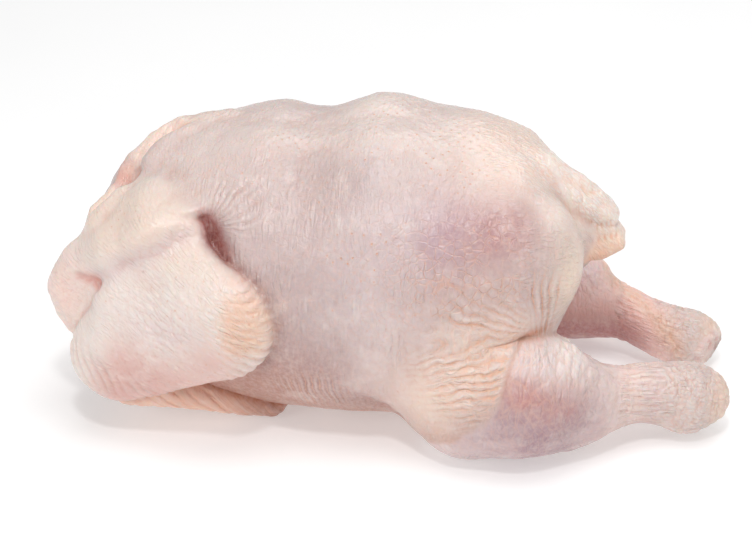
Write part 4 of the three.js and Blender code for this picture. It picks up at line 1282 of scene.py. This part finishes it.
# fine wrinkles and the crisp bottoms of the creases
fxyz = T.new("ShaderNodeSeparateXYZ")
T.put(fxyz.inputs[0], T.new("ShaderNodeAttribute", attribute_name="flow").outputs["Vector"])
fuv = T.new("ShaderNodeCombineXYZ")
T.put(fuv.inputs[0], fxyz.outputs[0])
T.put(fuv.inputs[1], fxyz.outputs[1])
fedge = T.voronoi(fuv.outputs[0], 1.0, "DISTANCE_TO_EDGE")
lines = T.span(fedge, 0.0, 0.3)
calm = T.span(T.noise(mm, 0.07, 2.0), 0.34, 0.62, 0.2, 1.1)
fold = T.math("MULTIPLY", T.math("MULTIPLY", lines, fxyz.outputs[2]), calm)
rust = T.math("MULTIPLY", T.math("MULTIPLY", T.span(fedge, 0.14, 0.0), fxyz.outputs[2]), rusty_in)
col = T.mix(T.math("MULTIPLY", rust, 0.5, clamp=True), col, (0.85, 0.52, 0.37, 1.0))
cxyz = T.new("ShaderNodeSeparateXYZ")
T.put(cxyz.inputs[0], T.new("ShaderNodeAttribute", attribute_name="crease").outputs["Vector"])
wavy = T.math("MULTIPLY_ADD", T.noise(mm, 0.4, 3.0, 0.6), 0.5, cxyz.outputs[0])
off = T.math("PINGPONG", T.math("ADD", wavy, -0.25), 0.5)
valley = T.math("MULTIPLY", T.span(off, 0.2, 0.0), cxyz.outputs[1])
thin = T.math("MULTIPLY", T.span(off, 0.15, 0.02), cxyz.outputs[1])
inked = T.math("MULTIPLY", thin, T.math("MAXIMUM", cxyz.outputs[2], 0.0))
cool = T.math("MULTIPLY", thin, T.math("MAXIMUM", T.math("MULTIPLY", cxyz.outputs[2], -1.0), 0.0))
col = T.mix(T.math("MULTIPLY", cool, 0.7, clamp=True), col, (0.50, 0.34, 0.40, 1.0))
col = T.mix(T.math("MULTIPLY", inked, 0.7, clamp=True), col, (0.85, 0.47, 0.30, 1.0))
# ridges are paler than their valleys
crest = T.math("MULTIPLY", T.span(off, 0.24, 0.46), cxyz.outputs[1])
crest = T.math("MAXIMUM", crest, T.math("MULTIPLY", T.math("MULTIPLY", T.span(fedge, 0.2, 0.42), fxyz.outputs[2]), 0.45))
col = T.mix(T.math("MULTIPLY", crest, 0.34, clamp=True), col, (1.0, 0.93, 0.87, 1.0))
bsdf = T.new("ShaderNodeBsdfPrincipled")
T.put(bsdf.inputs["Base Color"], col)
bsdf.inputs["Subsurface Weight"].default_value = 0.35
bsdf.inputs["Subsurface Radius"].default_value = (1.0, 0.42, 0.26)
bsdf.inputs["Subsurface Scale"].default_value = 0.0035
bsdf.inputs["IOR"].default_value = 1.42
bsdf.inputs["Specular IOR Level"].default_value = 0.5
bsdf.inputs["Coat Weight"].default_value = 0.45
bsdf.inputs["Coat Roughness"].default_value = 0.14
rough = T.span(T.noise(mm, 0.16, 3.0), 0.3, 0.7, 0.34, 0.52)
T.put(bsdf.inputs["Roughness"], rough)
# relief finer than the mesh
grain = T.noise(mm, 1.1, 3.0, 0.55)
crepe = T.noise(T.vec("MULTIPLY", mm, (0.9, 0.28, 0.22)), 0.8, 3.0, 0.6)
crepe = T.math("MULTIPLY", crepe, T.span(T.noise(mm, 0.06, 2.0), 0.35, 0.65, 0.4, 1.4))
height = T.math("MULTIPLY", T.math("MULTIPLY_ADD", grain, 0.13, T.math("MULTIPLY", crepe, 0.38)), gain_in)
height = T.math("MULTIPLY_ADD", halo, 0.14, height)
height = T.math("MULTIPLY_ADD", dot, -0.16, height)
height = T.math("MULTIPLY_ADD", line, -0.22, height)
height = T.math("MULTIPLY_ADD", T.math("MULTIPLY", fold, gain_in), 0.2, height)
height = T.math("MULTIPLY_ADD", valley, -0.3, height)
bump = T.new("ShaderNodeBump")
T.put(bump.inputs["Height"], T.math("MULTIPLY", height, 0.001))
bump.inputs["Distance"].default_value = 1.0
bump.inputs["Strength"].default_value = 1.0
T.put(bsdf.inputs["Normal"], bump.outputs[0])
T.put(bsdf.inputs["Coat Normal"], bump.outputs[0])
out = T.new("ShaderNodeOutputMaterial")
T.put(out.inputs["Surface"], bsdf.outputs[0])
mesh.materials.clear()
mesh.materials.append(mat)

# =====================================================================================
# 8. Floor, light and camera
# =====================================================================================
bpy.ops.mesh.primitive_plane_add(size=8, location=(0, 0, 0))
floor = bpy.context.object
floor.name = "floor"
fm = bpy.data.materials.new("floor")
F = Tree(fm)
fb = F.new("ShaderNodeBsdfPrincipled")
fb.inputs["Roughness"].default_value = 0.9
fb.inputs["Specular IOR Level"].default_value = 0.1
ftex = F.noise(F.new("ShaderNodeTexCoord").outputs["Object"], 6.0, 2.0)
F.put(fb.inputs["Base Color"], F.mix(F.span(ftex, 0.3, 0.7, 0.0, 1.0), (0.72, 0.72, 0.72, 1), (0.735, 0.735, 0.735, 1)))
fb.inputs["Emission Color"].default_value = (1, 1, 1, 1)
fb.inputs["Emission Strength"].default_value = 0.36
fo = F.new("ShaderNodeOutputMaterial")
F.put(fo.inputs["Surface"], fb.outputs[0])
floor.data.materials.append(fm)

world = bpy.data.worlds.new("studio")
bpy.context.scene.world = world
world.use_nodes = True
world.node_tree.nodes["Background"].inputs["Color"].default_value = (1.0, 1.0, 1.0, 1)
world.node_tree.nodes["Background"].inputs["Strength"].default_value = 0.28


def lamp(name, place, aim, size, power, colour=(1, 1, 1)):
    data = bpy.data.lights.new(name, "AREA")
    data.shape = "RECTANGLE"
    data.size, data.size_y = size
    data.energy = power
    data.color = colour
    o = bpy.data.objects.new(name, data)
    bpy.context.scene.collection.objects.link(o)
    o.location = place
    d = np.array(aim, float) - np.array(place, float)
    from mathutils import Vector

    o.rotation_euler = Vector(d).to_track_quat("-Z", "Y").to_euler()
    return o


lamp("key", (0.10, -0.15, 1.25), (0, 0, 0.05), (0.8, 0.6), 5.9)
lamp("spark", (0.05, -0.65, 1.1), (0, 0, 0.05), (0.11, 0.11), 3.4)
lamp("fill", (-0.85, -1.1, 0.75), (-0.05, 0, 0.05), (0.8, 0.6), 4.1)
lamp("right", (0.8, -0.55, 1.15), (0.05, 0, 0.05), (0.6, 0.5), 1.5)
lamp("back", (0.3, 0.9, 1.0), (0, 0, 0.05), (0.9, 0.5), 3.0)

AZ, EL, DIST, LENS = math.radians(7), math.radians(28), 0.919, 100.0
target = (np.array([0, 5, 52]) - SHIFT) / 1000
back = np.array([math.sin(AZ) * math.cos(EL), -math.cos(AZ) * math.cos(EL), math.sin(EL)])
cam_data = bpy.data.cameras.new("camera")
cam_data.lens = LENS
cam_data.sensor_width = 36
cam_data.sensor_fit = "HORIZONTAL"
cam_data.clip_start = 0.01
cam = bpy.data.objects.new("camera", cam_data)
bpy.context.scene.collection.objects.link(cam)
from mathutils import Vector

cam.location = target + back * DIST
cam.rotation_euler = Vector(-back).to_track_quat("-Z", "Y").to_euler()
bpy.context.scene.camera = cam
bpy.context.scene.view_settings.view_transform = "Standard"

bpy.context.view_layer.update()


print("done %.1fs" % (time.time() - T0), flush=True)
